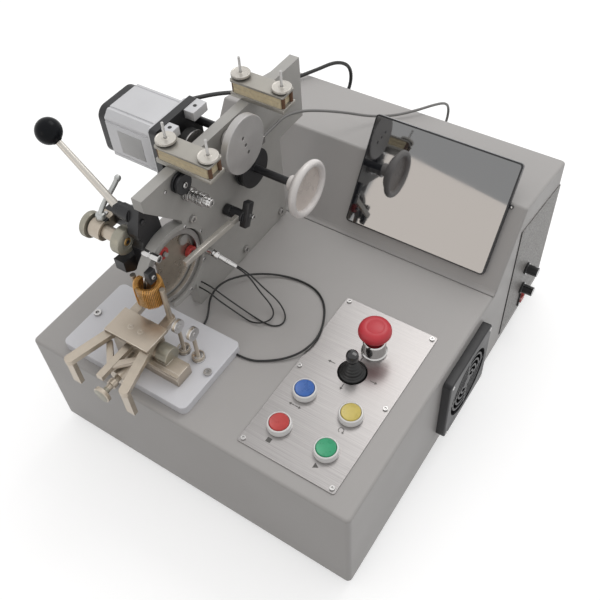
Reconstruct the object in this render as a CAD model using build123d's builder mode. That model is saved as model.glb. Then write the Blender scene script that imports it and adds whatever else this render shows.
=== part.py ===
from build123d import *
import math
import os

# Bench toroidal coil winder. Millimetres; +X to the right, +Y to the back, +Z up.
# The origin is on the table, below the middle of the base cabinet.

# ---------------------------------------------------------------- driving dimensions
# base cabinet, console and bottom
CABINET_WIDTH = 466.0
CABINET_DEPTH = 568.0
CABINET_HEIGHT = 166.0
SHEET = 2.0
CORNER_RADIUS = 6.0
EDGE_RADIUS = 4.0
FOOT_HEIGHT = 14.0
FOOT_RADIUS = 15.0
FOOT_INSET = 34.0
CONSOLE_FOOT_DEPTH = 207.0
CONSOLE_TOP_DEPTH = 142.4
CONSOLE_FRONT_RISE = 97.7
CONSOLE_BACK_RISE = 67.5
COVER_SHEET = 1.2
COVER_DEPTH = 142.0
COVER_MARGIN = 4.0
COVER_DROP = 37.0
COVER_BELOW = 150.0
VENT_WIDTH = 60.0
VENT_HEIGHT = 4.0
VENT_COUNT = 5
VENT_PITCH = 10.0

# touch screen on the console's sloping front
SCREEN_WIDTH = 202.0
SCREEN_HEIGHT = 147.0
SCREEN_BEZEL = 8.0
SCREEN_CORNER = 4.0
SCREEN_RIGHT_MARGIN = 22.0
SCREEN_ABOVE_FOOT = 19.5
SCREEN_BACK_MARGIN = 14.0
SCREEN_BACK_DEPTH = 28.0
CUTOUT_CLEARANCE = 0.5

# control plate and its switches
PANEL_WIDTH = 128.5
PANEL_DEPTH = 243.0
PANEL_SHEET = 1.5
PANEL_CORNER = 3.0
PANEL_RIGHT_MARGIN = 30.0
PANEL_FRONT_MARGIN = 19.0
PANEL_SCREW_INSET = 5.5
BUTTON_PITCH_X = 62.6
BUTTON_PITCH_Y = 53.0
BUTTON_LEFT = 31.5
BUTTON_FRONT = 40.0
BEZEL_RADIUS = 14.7
BEZEL_HEIGHT = 9.0
SWITCH_TUBE_RADIUS = 11.0
SWITCH_TUBE_DEPTH = 30.0
CAP_RADIUS = 11.6
CAP_HEIGHT = 5.2
CAP_TRAVEL = 3.5
CAP_STEM_RADIUS = 6.5
SLIDE_CLEARANCE = 0.4
STOP_LEFT = 71.5
STOP_FRONT = 186.0
STOP_HEAD_RADIUS = 20.0
STOP_HEAD_HEIGHT = 13.0
STOP_COLLAR_RADIUS = 14.0
STOP_COLLAR_HEIGHT = 22.0
STOP_NECK_RADIUS = 11.5
STOP_NECK_LENGTH = 9.0
STOP_STEM_RADIUS = 8.0
STOP_TRAVEL = 5.0
STICK_LEFT = 64.5
STICK_FRONT = 146.0
STICK_DROP = 5.0
STICK_BALL_RADIUS = 18.0
STICK_CONE_HEIGHT = 24.0
STICK_NECK_RADIUS = 5.0
STICK_KNOB_RADIUS = 7.6
STICK_HEIGHT = 38.0
GIMBAL_RING_WIDTH = 3.0
GIMBAL_THICKNESS = 4.0
GIMBAL_DROP = 3.0

# right side: fan, fuse holders and rocker switch
FAN_SIZE = 116.0
FAN_PROUD = 12.0
FAN_INSIDE = 26.0
FAN_WALL = 6.0
FAN_FROM_FRONT = 277.0
FAN_BELOW_TOP = 80.0
FAN_CORNER = 5.0
FAN_GRILLE = 3.0
FAN_BLADES = 7
FAN_HUB_RADIUS = 18.0
FUSE_FROM_BACK = 85.0
FUSE_BELOW_TOP = 64.0
FUSE_PITCH = 42.0
FUSE_FLANGE_RADIUS = 9.0
FUSE_KNOB_RADIUS = 7.0
FUSE_KNOB_LENGTH = 18.0
FUSE_BODY_RADIUS = 6.5
FUSE_BODY_LENGTH = 26.0
ROCKER_FROM_BACK = 76.0
ROCKER_BELOW_TOP = 133.0
ROCKER_WIDTH = 15.0
ROCKER_HEIGHT = 24.0
ROCKER_FRAME = 3.0
ROCKER_DEPTH = 18.0

# head plate and what it carries
PLATE_FROM_LEFT = 143.4
PLATE_THICKNESS = 14.0
PLATE_HEIGHT = 220.0
PLATE_FOOT_BEHIND_RING = 24.0
PLATE_CONSOLE_GAP = 7.0
PLATE_BEAK_REACH = 26.0
PLATE_BEAK_DEPTH = 16.0
PLATE_TAIL_REACH = 54.5
PLATE_TAIL_HEIGHT = 88.0
PLATE_FLANGE_WIDTH = 30.0
PLATE_FLANGE = 8.0
RUN_CLEARANCE = 0.05

RING_FROM_FRONT = 132.0
RING_ABOVE_TOP = 93.0
RING_OUTER_RADIUS = 48.5
RING_INNER_RADIUS = 42.0
RING_THICKNESS = 6.0
RING_GROOVE = 2.0
RIM_THICKNESS = 7.2
RIM_GAP = 2.0
HOUSING_WEB = 3.0
ROLLER_RADIUS = 8.0
ROLLER_PIN_RADIUS = 3.0
ROLLER_GAP = 0.3
ROLLER_UPPER_ANGLE = 108.0
ROLLER_REAR_ANGLE = -10.0
WASHER_ANGLE = 34.0
WASHER_RADIUS = 7.0

MOTOR_SIZE = 70.0
MOTOR_CHAMFER = 8.5
MOTOR_LENGTH = 72.0
MOTOR_CAP_LENGTH = 14.0
MOTOR_BEHIND_RING = 87.5
MOTOR_DROP = 14.5
MOTOR_GAP = 24.4
MOTOR_BRACKET = 10.0
POST_REACH = 32.0
GUARD_LENGTH = 14.0
MOTOR_SHAFT_RADIUS = 5.0
BELT_PULLEY_RADIUS = 17.0
BELT_WIDTH = 10.0
BELT_THICKNESS = 2.4
BELT_GAP = 0.3

WHEEL_BEHIND_RING = 146.0
WHEEL_DROP = 75.0
WHEEL_RADIUS = 37.0
WHEEL_WIDTH = 17.0
WHEEL_RIM = 5.0
WHEEL_WEB = 5.0
WHEEL_REACH = 80.0
WHEEL_HUB_RADIUS = 9.5
WHEEL_HUB_LENGTH = 12.0
WHEEL_SHAFT_RADIUS = 5.0
GUIDE_PULLEY_RADIUS = 26.0
GUIDE_PULLEY_WIDTH = 12.0
DISC_BEHIND_RING = 120.0
DISC_DROP = 16.0
DISC_RADIUS = 36.0
DISC_WIDTH = 9.0
DISC_STANDOFF = 20.0
DISC_PIN_RADIUS = 6.0
DISC_HOLE_RADIUS = 2.4
DISC_HOLE_PITCH = 12.0

TENSION_BEHIND_RING = (45.0, 183.0)
TENSION_WIDTH = 76.0
TENSION_DEPTH = 25.0
TENSION_SHIFT = 17.5
TENSION_BASE = 6.0
TENSION_FELT = 14.0
TENSION_PLATE = 3.0
STUD_PITCH = 58.0
STUD_RADIUS = 1.6
STUD_LENGTH = 26.0
NUT_RADIUS = 12.0
NUT_THICKNESS = 6.0

WIRE_PULLEY_BEHIND_RING = 31.0
WIRE_PULLEY_DROP = 15.0
WIRE_PULLEY_RADIUS = 12.5
WIRE_PULLEY_WIDTH = 9.0
SPINDLE_BEHIND_RING = 40.0
SPINDLE_DROP = 38.0
SPINDLE_RADII = (9.0, 6.0, 8.0, 5.0)
SPINDLE_STEP = 9.0
PIN_RADIUS = 4.0

ARM_BEHIND_RING = 99.0
ARM_ABOVE_RING = 15.0
ARM_REACH = 102.0
ARM_RISE = 11.0
ARM_HEIGHT = 8.0
ARM_THICKNESS = 6.0
ARM_STANDOFF = 19.6
ARM_HUB_RADIUS = 7.5
ARM_CLAMP_HEIGHT = 34.0

# lever group at the front of the head
BLOCK_THICKNESS = 15.0
BLOCK_ABOVE_RING = 106.0
BLOCK_HEIGHT = 89.0
BLOCK_REACH = 32.0
BLOCK_DEPTH = 38.0
TOE_WIDTH = 14.0
TOE_LENGTH = 25.0
TOE_HEIGHT = 20.0
FRONT_SPINDLE_REACH = 35.0
FRONT_SPINDLE_ABOVE_RING = 60.5
FRONT_SPINDLE_RADIUS = 8.0
LUG_RADIUS = 12.0
LUG_LENGTH = 16.0
LUG_FROM_PLATE = 49.4
KNURL_RADIUS = 16.0
KNURL_WIDTH = 8.0
END_DISC_RADIUS = 17.0
END_DISC_WIDTH = 12.0
LEVER_REACH = 20.0
LEVER_ABOVE_RING = 91.0
LEVER_BOSS_RADIUS = 9.5
LEVER_BOSS_LENGTH = 13.0
LEVER_HUB_RADIUS = 8.5
LEVER_HUB_LENGTH = 8.0
LEVER_RADIUS = 4.5
BALL_FROM_PLATE = 110.3
BALL_ABOVE_LEVER = 77.4
BALL_RADIUS = 15.0
HANDLE_RADIUS = 2.8

# chuck
CHUCK_LEFT_MARGIN = 45.0
CHUCK_FRONT_MARGIN = 13.0
CHUCK_PLATE_WIDTH = 193.0
CHUCK_PLATE_DEPTH = 112.5
CHUCK_PLATE_THICKNESS = 12.0
CHUCK_PLATE_CORNER = 8.0
CHUCK_REACH = 80.0
CHUCK_SHIFT = 1.6
CHUCK_BLOCK_WIDTH = 52.0
CHUCK_BLOCK_DEPTH = 32.0
CHUCK_LIP_WIDTH = 66.0
CHUCK_LIP_DEPTH = 38.0
CHUCK_LIP = 4.0
JAW_ABOVE_TOP = 48.5
JAW_THICKNESS = 7.0
JAW_WIDTH = 12.0
JAW_PIVOT_SPREAD = 46.0
JAW_PIN_RADIUS = 3.0
JAW_REACH = 70.0
JAW_FRONT_SPREAD = 84.0
JAW_LEG_LENGTH = 38.0
FINGER_RADIUS = 3.5
FINGER_TOP = 106.0
FACE_GAP = 0.3
BARREL_RADIUS = 10.5
BARREL_LENGTH = 34.0
BARREL_SHIFT = 7.6
BARREL_ABOVE_TOP = 26.0
KNOB_RADIUS = 11.0
KNOB_THICKNESS = 5.0
KNOB_SCREW_RADIUS = 4.0
KNOB_REACH = 24.0
BAR_WIDTH = 9.0
BAR_LENGTH = 52.0
BAR_THICKNESS = 7.0
SIDE_BLOCK_WIDTH = 42.0
SIDE_BLOCK_DEPTH = 24.0
SIDE_BLOCK_HEIGHT = 17.0
SIDE_ROLLER_RADIUS = 12.0
SIDE_ROLLER_WIDTH = 20.0
POST_SHIFTS = (41.6, 63.6)
POST_BEHIND_CHUCK = 29.0
POST_FOOT_RADIUS = 8.0
POST_RADIUS = 2.5
POST_FOOT_HEIGHT = 6.0
POST_HEIGHT = 48.0
POST_DISC_RADIUS = 8.5
POST_DISC_WIDTH = 5.0

# ring core and its winding
CORE_REACH = 43.0
CORE_BELOW_RING = 2.0
CORE_OUTER_RADIUS = 16.5
CORE_INNER_RADIUS = 11.0
CORE_HEIGHT = 30.0
WIRE_RADIUS = 0.8
WINDING_GAP = 0.3
WINDING_TURNS = 18
WINDING_ARC = 320.0
WINDING_FIRST = -70.0

# cords
LOOP_RADIUS = 1.4
FIBRE_RADIUS = 1.0
SENSOR_CABLE_RADIUS = 1.9
MOTOR_CABLE_RADIUS = 2.8
GLAND_RADIUS = 9.0
GLAND_LENGTH = 16.0
GLAND_NUT = 6.0
GLAND_RISE = 12.0
MAINS_GLAND_RISE = 50.0
MOTOR_GLAND_FROM_LEFT = 93.0
SENSOR_GLAND_FROM_LEFT = 267.0
MAINS_GLAND_FROM_RIGHT = 80.0

# sensor beside the plate, and the casings inside the cabinet
SENSOR_HOLDER_RADIUS = 4.5
SENSOR_RADIUS = 3.0
SENSOR_STANDOFF = 7.6
SENSOR_BEHIND_RING = 54.0
SENSOR_RISE = 75.0
CLIP_DEPTH = 8.0
CLIP_HEIGHT = 9.0
SUPPLY_SIZE = (200.0, 98.0, 42.0)
DRIVE_SIZE = (80.0, 130.0, 60.0)
BOARD_SIZE = (160.0, 90.0, 2.0)
BOARD_STANDOFF = 8.0
CHIP_HEIGHT = 14.0

# ---------------------------------------------------------------- derived places
LEFT = -CABINET_WIDTH / 2
RIGHT = CABINET_WIDTH / 2
FRONT = -CABINET_DEPTH / 2
BACK = CABINET_DEPTH / 2
TOP = FOOT_HEIGHT + CABINET_HEIGHT
FLOOR = FOOT_HEIGHT + SHEET
CONSOLE_FRONT = BACK - CONSOLE_FOOT_DEPTH
CONSOLE_CREST = BACK - CONSOLE_TOP_DEPTH
SLOPE = math.degrees(math.atan2(CONSOLE_FRONT_RISE, CONSOLE_CREST - CONSOLE_FRONT))
SLOPE_NORMAL = (0, -math.sin(math.radians(SLOPE)), math.cos(math.radians(SLOPE)))
SCREEN_X = RIGHT - SCREEN_RIGHT_MARGIN - SCREEN_WIDTH / 2
CONSOLE_FACE = Plane(origin=(SCREEN_X, CONSOLE_FRONT, TOP), x_dir=(1, 0, 0), z_dir=SLOPE_NORMAL)
SCREEN_UP = SCREEN_ABOVE_FOOT + SCREEN_HEIGHT / 2

PANEL_X = RIGHT - PANEL_RIGHT_MARGIN - PANEL_WIDTH / 2
PANEL_Y = FRONT + PANEL_FRONT_MARGIN + PANEL_DEPTH / 2
PANEL_LEFT = PANEL_X - PANEL_WIDTH / 2
PANEL_FRONT = PANEL_Y - PANEL_DEPTH / 2
PANEL_TOP = TOP + PANEL_SHEET
BUTTON_XS = (PANEL_LEFT + BUTTON_LEFT, PANEL_LEFT + BUTTON_LEFT + BUTTON_PITCH_X)
BUTTON_YS = (PANEL_FRONT + BUTTON_FRONT, PANEL_FRONT + BUTTON_FRONT + BUTTON_PITCH_Y)
BUTTONS = {
    "button_red": (BUTTON_XS[0], BUTTON_YS[0]),
    "button_green": (BUTTON_XS[1], BUTTON_YS[0]),
    "button_blue": (BUTTON_XS[0], BUTTON_YS[1]),
    "button_yellow": (BUTTON_XS[1], BUTTON_YS[1]),
}
STOP_SPOT = (PANEL_LEFT + STOP_LEFT, PANEL_FRONT + STOP_FRONT)
STICK_SPOT = (PANEL_LEFT + STICK_LEFT, PANEL_FRONT + STICK_FRONT)
STICK_PIVOT = TOP - STICK_DROP
STICK_HOLE_RADIUS = STICK_BALL_RADIUS + 0.3
FAN_Y = FRONT + FAN_FROM_FRONT
FAN_Z = TOP - FAN_BELOW_TOP
FUSE_Y = BACK - FUSE_FROM_BACK
FUSE_ZS = (TOP - FUSE_BELOW_TOP, TOP - FUSE_BELOW_TOP - FUSE_PITCH)
ROCKER_Y = BACK - ROCKER_FROM_BACK
ROCKER_Z = TOP - ROCKER_BELOW_TOP

PLATE_X = LEFT + PLATE_FROM_LEFT
PLATE_LEFT = PLATE_X - PLATE_THICKNESS / 2
PLATE_RIGHT = PLATE_X + PLATE_THICKNESS / 2
PLATE_TOP = TOP + PLATE_HEIGHT
RING_Y = FRONT + RING_FROM_FRONT
RING_Z = TOP + RING_ABOVE_TOP
PLATE_FOOT_FRONT = RING_Y + PLATE_FOOT_BEHIND_RING
PLATE_FOOT_BACK = CONSOLE_FRONT - PLATE_CONSOLE_GAP
PLATE_BEAK = RING_Y - PLATE_BEAK_REACH
PLATE_TAIL = PLATE_FOOT_BACK + PLATE_TAIL_REACH
HOUSING_RADIUS = RING_OUTER_RADIUS + RIM_GAP + RIM_THICKNESS
ROLLER_ORBIT = RING_INNER_RADIUS - ROLLER_GAP - ROLLER_RADIUS
MOTOR_Y = RING_Y + MOTOR_BEHIND_RING
MOTOR_Z = PLATE_TOP - MOTOR_DROP
MOTOR_FACE = PLATE_LEFT - MOTOR_GAP - MOTOR_BRACKET
WHEEL_Y = RING_Y + WHEEL_BEHIND_RING
WHEEL_Z = PLATE_TOP - WHEEL_DROP
WHEEL_X = PLATE_RIGHT + WHEEL_REACH
BELT_X = PLATE_LEFT - MOTOR_GAP / 2
DISC_SPOT = (RING_Y + DISC_BEHIND_RING, PLATE_TOP - DISC_DROP)
WHEEL_SPOT = (WHEEL_Y, WHEEL_Z)
PULLEY_SPOT = (RING_Y + WIRE_PULLEY_BEHIND_RING, PLATE_TOP - WIRE_PULLEY_DROP)
SPINDLE_SPOT = (RING_Y + SPINDLE_BEHIND_RING, PLATE_TOP - SPINDLE_DROP)
ARM_Y = RING_Y + ARM_BEHIND_RING
ARM_Z = RING_Z + ARM_ABOVE_RING
ARM_SPOT = (ARM_Y, ARM_Z)
LEVER_SPOT = (RING_Y - LEVER_REACH, RING_Z + LEVER_ABOVE_RING)
FRONT_SPINDLE_SPOT = (RING_Y - FRONT_SPINDLE_REACH, RING_Z + FRONT_SPINDLE_ABOVE_RING)
TENSION_YS = [RING_Y + behind for behind in TENSION_BEHIND_RING]
TENSION_X = PLATE_X + TENSION_SHIFT
STUD_XS = (TENSION_X - STUD_PITCH / 2, TENSION_X + STUD_PITCH / 2)
TENSION_TOP = PLATE_TOP + TENSION_BASE + TENSION_FELT + TENSION_PLATE
CHUCK_PLATE_TOP = TOP + CHUCK_PLATE_THICKNESS
CHUCK_PLATE_X = LEFT + CHUCK_LEFT_MARGIN + CHUCK_PLATE_WIDTH / 2
CHUCK_PLATE_Y = FRONT + CHUCK_FRONT_MARGIN + CHUCK_PLATE_DEPTH / 2
CHUCK_PLATE_BACK = CHUCK_PLATE_Y + CHUCK_PLATE_DEPTH / 2
CHUCK_PLATE_RIGHT = CHUCK_PLATE_X + CHUCK_PLATE_WIDTH / 2
CHUCK_X = PLATE_X + CHUCK_SHIFT
CHUCK_Y = RING_Y - CHUCK_REACH
JAW_Z = TOP + JAW_ABOVE_TOP
JAW_TOP = JAW_Z + JAW_THICKNESS
WOUND_RADIUS = CORE_OUTER_RADIUS + WINDING_GAP + 2 * WIRE_RADIUS
FINGER_SPREAD = 2 * (WOUND_RADIUS + FACE_GAP + FINGER_RADIUS)
CORE_Y = RING_Y - CORE_REACH
CORE_Z = RING_Z - CORE_BELOW_RING
BARREL_X = PLATE_X + BARREL_SHIFT
BARREL_Z = TOP + BARREL_ABOVE_TOP
BARREL_BACK = CHUCK_Y - CHUCK_BLOCK_DEPTH / 2
BARREL_FRONT = BARREL_BACK - BARREL_LENGTH
CONSOLE_GLAND_Z = TOP + GLAND_RISE
MAINS_GLAND_Z = FLOOR + MAINS_GLAND_RISE
MOTOR_GLAND_X = LEFT + MOTOR_GLAND_FROM_LEFT
SENSOR_GLAND_X = LEFT + SENSOR_GLAND_FROM_LEFT
MAINS_GLAND_X = RIGHT - MAINS_GLAND_FROM_RIGHT

os.makedirs("parts", exist_ok=True)


# ---------------------------------------------------------------- helpers
def bar_x(x_from, x_to, y, z, radius, mode=Mode.ADD):
    """A round bar along X, in the part that is being built."""
    with Locations(Location(((x_from + x_to) / 2, y, z), (0, 90, 0))):
        Cylinder(radius, abs(x_to - x_from), mode=mode)


def bar_y(y_from, y_to, x, z, radius, mode=Mode.ADD):
    """A round bar along Y, in the part that is being built."""
    with Locations(Location((x, (y_from + y_to) / 2, z), (90, 0, 0))):
        Cylinder(radius, abs(y_to - y_from), mode=mode)


def bar_z(z_from, z_to, x, y, radius, mode=Mode.ADD):
    """A round bar along Z, in the part that is being built."""
    with Locations((x, y, (z_from + z_to) / 2)):
        Cylinder(radius, abs(z_to - z_from), mode=mode)


def block(x_span, y_span, z_span, mode=Mode.ADD):
    """A box between two corners, in the part that is being built."""
    middle = [(low + high) / 2 for low, high in (x_span, y_span, z_span)]
    size = [high - low for low, high in (x_span, y_span, z_span)]
    with Locations(tuple(middle)):
        Box(*size, mode=mode)


def rod(start, end, radius, mode=Mode.ADD):
    """A round rod from one point to another, in the part that is being built."""
    run = Vector(*end) - Vector(*start)
    with BuildSketch(Plane(origin=start, z_dir=run)) as section:
        Circle(radius)
    extrude(section.sketch, amount=run.length, mode=mode)


def save(part, label):
    """Labels a finished piece and writes its STEP file."""
    part.label = label
    export_step(part, f"parts/{label}.step")


# ---------------------------------------------------------------- cabinet
with BuildPart() as base_cabinet:
    with BuildSketch(Plane.XY.offset(FLOOR)):
        RectangleRounded(CABINET_WIDTH, CABINET_DEPTH, CORNER_RADIUS)
    extrude(amount=TOP - FLOOR)
    fillet(base_cabinet.faces().sort_by(Axis.Z)[-1].edges(), EDGE_RADIUS)
    # the rear of the top stays square, where the console stands on it
    with BuildSketch(Plane.XY.offset(TOP - 2 * EDGE_RADIUS)):
        RectangleRounded(CABINET_WIDTH, CABINET_DEPTH, CORNER_RADIUS)
        with Locations((0, CONSOLE_FRONT - CABINET_DEPTH / 2)):
            Rectangle(CABINET_WIDTH, CABINET_DEPTH, mode=Mode.SUBTRACT)
    extrude(amount=2 * EDGE_RADIUS)
    with BuildSketch(Plane.XY.offset(FLOOR)):
        RectangleRounded(CABINET_WIDTH - 2 * SHEET, CABINET_DEPTH - 2 * SHEET, CORNER_RADIUS - SHEET)
    extrude(amount=TOP - FLOOR - SHEET, mode=Mode.SUBTRACT)
    for spot in BUTTONS.values():
        bar_z(TOP - 2 * SHEET, TOP + SHEET, *spot, SWITCH_TUBE_RADIUS, Mode.SUBTRACT)
    bar_z(TOP - 2 * SHEET, TOP + SHEET, *STOP_SPOT, SWITCH_TUBE_RADIUS, Mode.SUBTRACT)
    bar_z(TOP - 2 * SHEET, TOP + SHEET, *STICK_SPOT, STICK_HOLE_RADIUS, Mode.SUBTRACT)
    bar_x(RIGHT - 2 * SHEET, RIGHT + SHEET, FAN_Y, FAN_Z, FAN_SIZE / 2 - FAN_WALL, Mode.SUBTRACT)
    for fuse_z in FUSE_ZS:
        bar_x(RIGHT - 2 * SHEET, RIGHT + SHEET, FUSE_Y, fuse_z, FUSE_BODY_RADIUS, Mode.SUBTRACT)
    block(
        (RIGHT - 2 * SHEET, RIGHT + SHEET),
        (ROCKER_Y - ROCKER_WIDTH / 2, ROCKER_Y + ROCKER_WIDTH / 2),
        (ROCKER_Z - ROCKER_HEIGHT / 2, ROCKER_Z + ROCKER_HEIGHT / 2),
        Mode.SUBTRACT,
    )
    bar_y(BACK - 2 * SHEET, BACK + SHEET, MAINS_GLAND_X, MAINS_GLAND_Z, GLAND_RADIUS - SHEET, Mode.SUBTRACT)
save(base_cabinet.part, "base_cabinet")

with BuildPart() as bottom_plate:
    with BuildSketch(Plane.XY.offset(FOOT_HEIGHT)):
        RectangleRounded(CABINET_WIDTH, CABINET_DEPTH, CORNER_RADIUS)
    extrude(amount=SHEET)
save(bottom_plate.part, "bottom_plate")

with BuildPart() as rubber_feet:
    with GridLocations(CABINET_WIDTH - 2 * FOOT_INSET, CABINET_DEPTH - 2 * FOOT_INSET, 2, 2):
        Cylinder(FOOT_RADIUS, FOOT_HEIGHT, align=(Align.CENTER, Align.CENTER, Align.MIN))
    chamfer(rubber_feet.edges().group_by(Axis.Z)[0], SHEET)
save(rubber_feet.part, "rubber_feet")


def console_outline(inset, drop):
    """The console's side outline, drawn in by the inset; drop lowers its open foot."""
    lean = math.radians(SLOPE)
    fall = math.atan2(CONSOLE_FRONT_RISE - CONSOLE_BACK_RISE, CONSOLE_TOP_DEPTH)
    foot_y = CONSOLE_FRONT + inset / math.sin(lean) - drop / math.tan(lean)
    crest_lift = inset * (1 - math.cos(lean + fall)) / math.sin(lean + fall)
    crest = (
        CONSOLE_CREST - inset * math.sin(fall) + crest_lift * math.cos(fall),
        TOP + CONSOLE_FRONT_RISE - inset * math.cos(fall) - crest_lift * math.sin(fall),
    )
    back_z = TOP + CONSOLE_BACK_RISE - inset / math.cos(fall) + inset * math.tan(fall)
    return [(foot_y, TOP - drop), crest, (BACK - inset, back_z), (BACK - inset, TOP - drop)]


with BuildPart() as console_housing:
    with BuildSketch(Plane.YZ.offset(LEFT)):
        with BuildLine():
            Polyline(*console_outline(0, 0), close=True)
        make_face()
    extrude(amount=CABINET_WIDTH)
    standing = console_housing.edges().filter_by(Axis.Z).group_by(Axis.Y)[-1]
    fillet(standing, CORNER_RADIUS)
    raised = console_housing.edges().filter_by(lambda e: e.bounding_box().max.Z > TOP + EDGE_RADIUS * 4)
    fillet(raised.filter_by(lambda e: abs((e % 0.5).Z) < 0.999), EDGE_RADIUS)
    with BuildSketch(Plane.YZ.offset(LEFT + SHEET)):
        with BuildLine():
            Polyline(*console_outline(SHEET, SHEET), close=True)
        make_face()
    extrude(amount=CABINET_WIDTH - 2 * SHEET, mode=Mode.SUBTRACT)
    with BuildSketch(CONSOLE_FACE.offset(SCREEN_BEZEL)):
        with Locations((0, SCREEN_UP)):
            Rectangle(
                SCREEN_WIDTH - 2 * SCREEN_BACK_MARGIN + 2 * CUTOUT_CLEARANCE,
                SCREEN_HEIGHT - 2 * SCREEN_BACK_MARGIN + 2 * CUTOUT_CLEARANCE,
            )
    extrude(amount=-(SCREEN_BEZEL + SCREEN_BACK_DEPTH + CUTOUT_CLEARANCE), mode=Mode.SUBTRACT)
    for gland_x in (MOTOR_GLAND_X, SENSOR_GLAND_X):
        bar_y(BACK - 2 * SHEET, BACK + SHEET, gland_x, CONSOLE_GLAND_Z, GLAND_RADIUS - SHEET, Mode.SUBTRACT)
    for row in range(VENT_COUNT):
        vent_z = TOP + VENT_PITCH * (row + 1) - VENT_HEIGHT
        block(
            (RIGHT - 2 * VENT_WIDTH, RIGHT - VENT_WIDTH),
            (BACK - 2 * SHEET, BACK + SHEET),
            (vent_z, vent_z + VENT_HEIGHT),
            Mode.SUBTRACT,
        )
save(console_housing.part, "console_housing")

COVER_FRONT = BACK - COVER_DEPTH - COVER_MARGIN
with BuildPart() as side_cover:
    with BuildSketch(Plane.YZ.offset(RIGHT)):
        with BuildLine():
            Polyline(
                (COVER_FRONT, TOP - COVER_BELOW),
                (COVER_FRONT, TOP + CONSOLE_FRONT_RISE - COVER_DROP),
                (BACK - COVER_MARGIN, TOP + CONSOLE_BACK_RISE - COVER_DROP),
                (BACK - COVER_MARGIN, TOP - COVER_BELOW),
                close=True,
            )
        make_face()
        fillet(vertices(), SHEET)
    extrude(amount=COVER_SHEET)
    for fuse_z in FUSE_ZS:
        bar_x(RIGHT - SHEET, RIGHT + SHEET, FUSE_Y, fuse_z, FUSE_BODY_RADIUS, Mode.SUBTRACT)
    block(
        (RIGHT - SHEET, RIGHT + SHEET),
        (ROCKER_Y - ROCKER_WIDTH / 2, ROCKER_Y + ROCKER_WIDTH / 2),
        (ROCKER_Z - ROCKER_HEIGHT / 2, ROCKER_Z + ROCKER_HEIGHT / 2),
        Mode.SUBTRACT,
    )
save(side_cover.part, "side_cover")

# ---------------------------------------------------------------- screen
with BuildPart() as screen_housing:
    with BuildSketch(CONSOLE_FACE):
        with Locations((0, SCREEN_UP)):
            RectangleRounded(SCREEN_WIDTH, SCREEN_HEIGHT, SCREEN_CORNER)
    extrude(amount=SCREEN_BEZEL)
    with BuildSketch(CONSOLE_FACE):
        with Locations((0, SCREEN_UP)):
            Rectangle(SCREEN_WIDTH - 2 * SCREEN_BACK_MARGIN, SCREEN_HEIGHT - 2 * SCREEN_BACK_MARGIN)
    extrude(amount=-SCREEN_BACK_DEPTH)
save(screen_housing.part, "screen_housing")

# ---------------------------------------------------------------- control plate
SCREW_XS = (PANEL_LEFT + PANEL_SCREW_INSET, PANEL_LEFT + PANEL_WIDTH - PANEL_SCREW_INSET)
SCREW_YS = (PANEL_FRONT + PANEL_SCREW_INSET, PANEL_Y, PANEL_FRONT + PANEL_DEPTH - PANEL_SCREW_INSET)
PANEL_SCREWS = [(x, y) for x in SCREW_XS for y in SCREW_YS]

with BuildPart() as panel_plate:
    with BuildSketch(Plane.XY.offset(TOP)):
        with Locations((PANEL_X, PANEL_Y)):
            RectangleRounded(PANEL_WIDTH, PANEL_DEPTH, PANEL_CORNER)
        with Locations(*BUTTONS.values(), STOP_SPOT):
            Circle(SWITCH_TUBE_RADIUS, mode=Mode.SUBTRACT)
        with Locations(STICK_SPOT):
            Circle(STICK_HOLE_RADIUS, mode=Mode.SUBTRACT)
    extrude(amount=PANEL_SHEET)
save(panel_plate.part, "panel_plate")

SCREW_HEAD_RADIUS = 3.0
SCREW_HEAD_HEIGHT = 2.0
SCREW_SOCKET_RADIUS = 1.4
CHUCK_SCREWS = [
    (CHUCK_PLATE_X - CHUCK_PLATE_WIDTH / 2 + CHUCK_PLATE_CORNER, CHUCK_PLATE_Y),
    (CHUCK_PLATE_X + CHUCK_PLATE_WIDTH / 2 - CHUCK_PLATE_CORNER, CHUCK_PLATE_Y),
]
PLATE_SCREWS = [
    (PLATE_FOOT_FRONT + 99.5, TOP + 14.0),
    (PLATE_FOOT_BACK - 14.4, TOP + 14.0),
    (PLATE_FOOT_FRONT + 16.0, PLATE_TOP - 79.0),
]
with BuildPart() as screws:
    for x, y in PANEL_SCREWS:
        bar_z(PANEL_TOP, PANEL_TOP + SCREW_HEAD_HEIGHT, x, y, SCREW_HEAD_RADIUS)
        bar_z(PANEL_TOP + 1, PANEL_TOP + SCREW_HEAD_HEIGHT, x, y, SCREW_SOCKET_RADIUS, Mode.SUBTRACT)
    for x, y in CHUCK_SCREWS:
        bar_z(CHUCK_PLATE_TOP, CHUCK_PLATE_TOP + 3, x, y, 5)
        bar_z(CHUCK_PLATE_TOP + 1, CHUCK_PLATE_TOP + 3, x, y, 2.4, Mode.SUBTRACT)
    for y, z in PLATE_SCREWS:
        bar_x(PLATE_RIGHT, PLATE_RIGHT + 4, y, z, 5)
        bar_x(PLATE_RIGHT + 1.5, PLATE_RIGHT + 4, y, z, 2.4, Mode.SUBTRACT)
save(screws.part, "screws")

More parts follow.
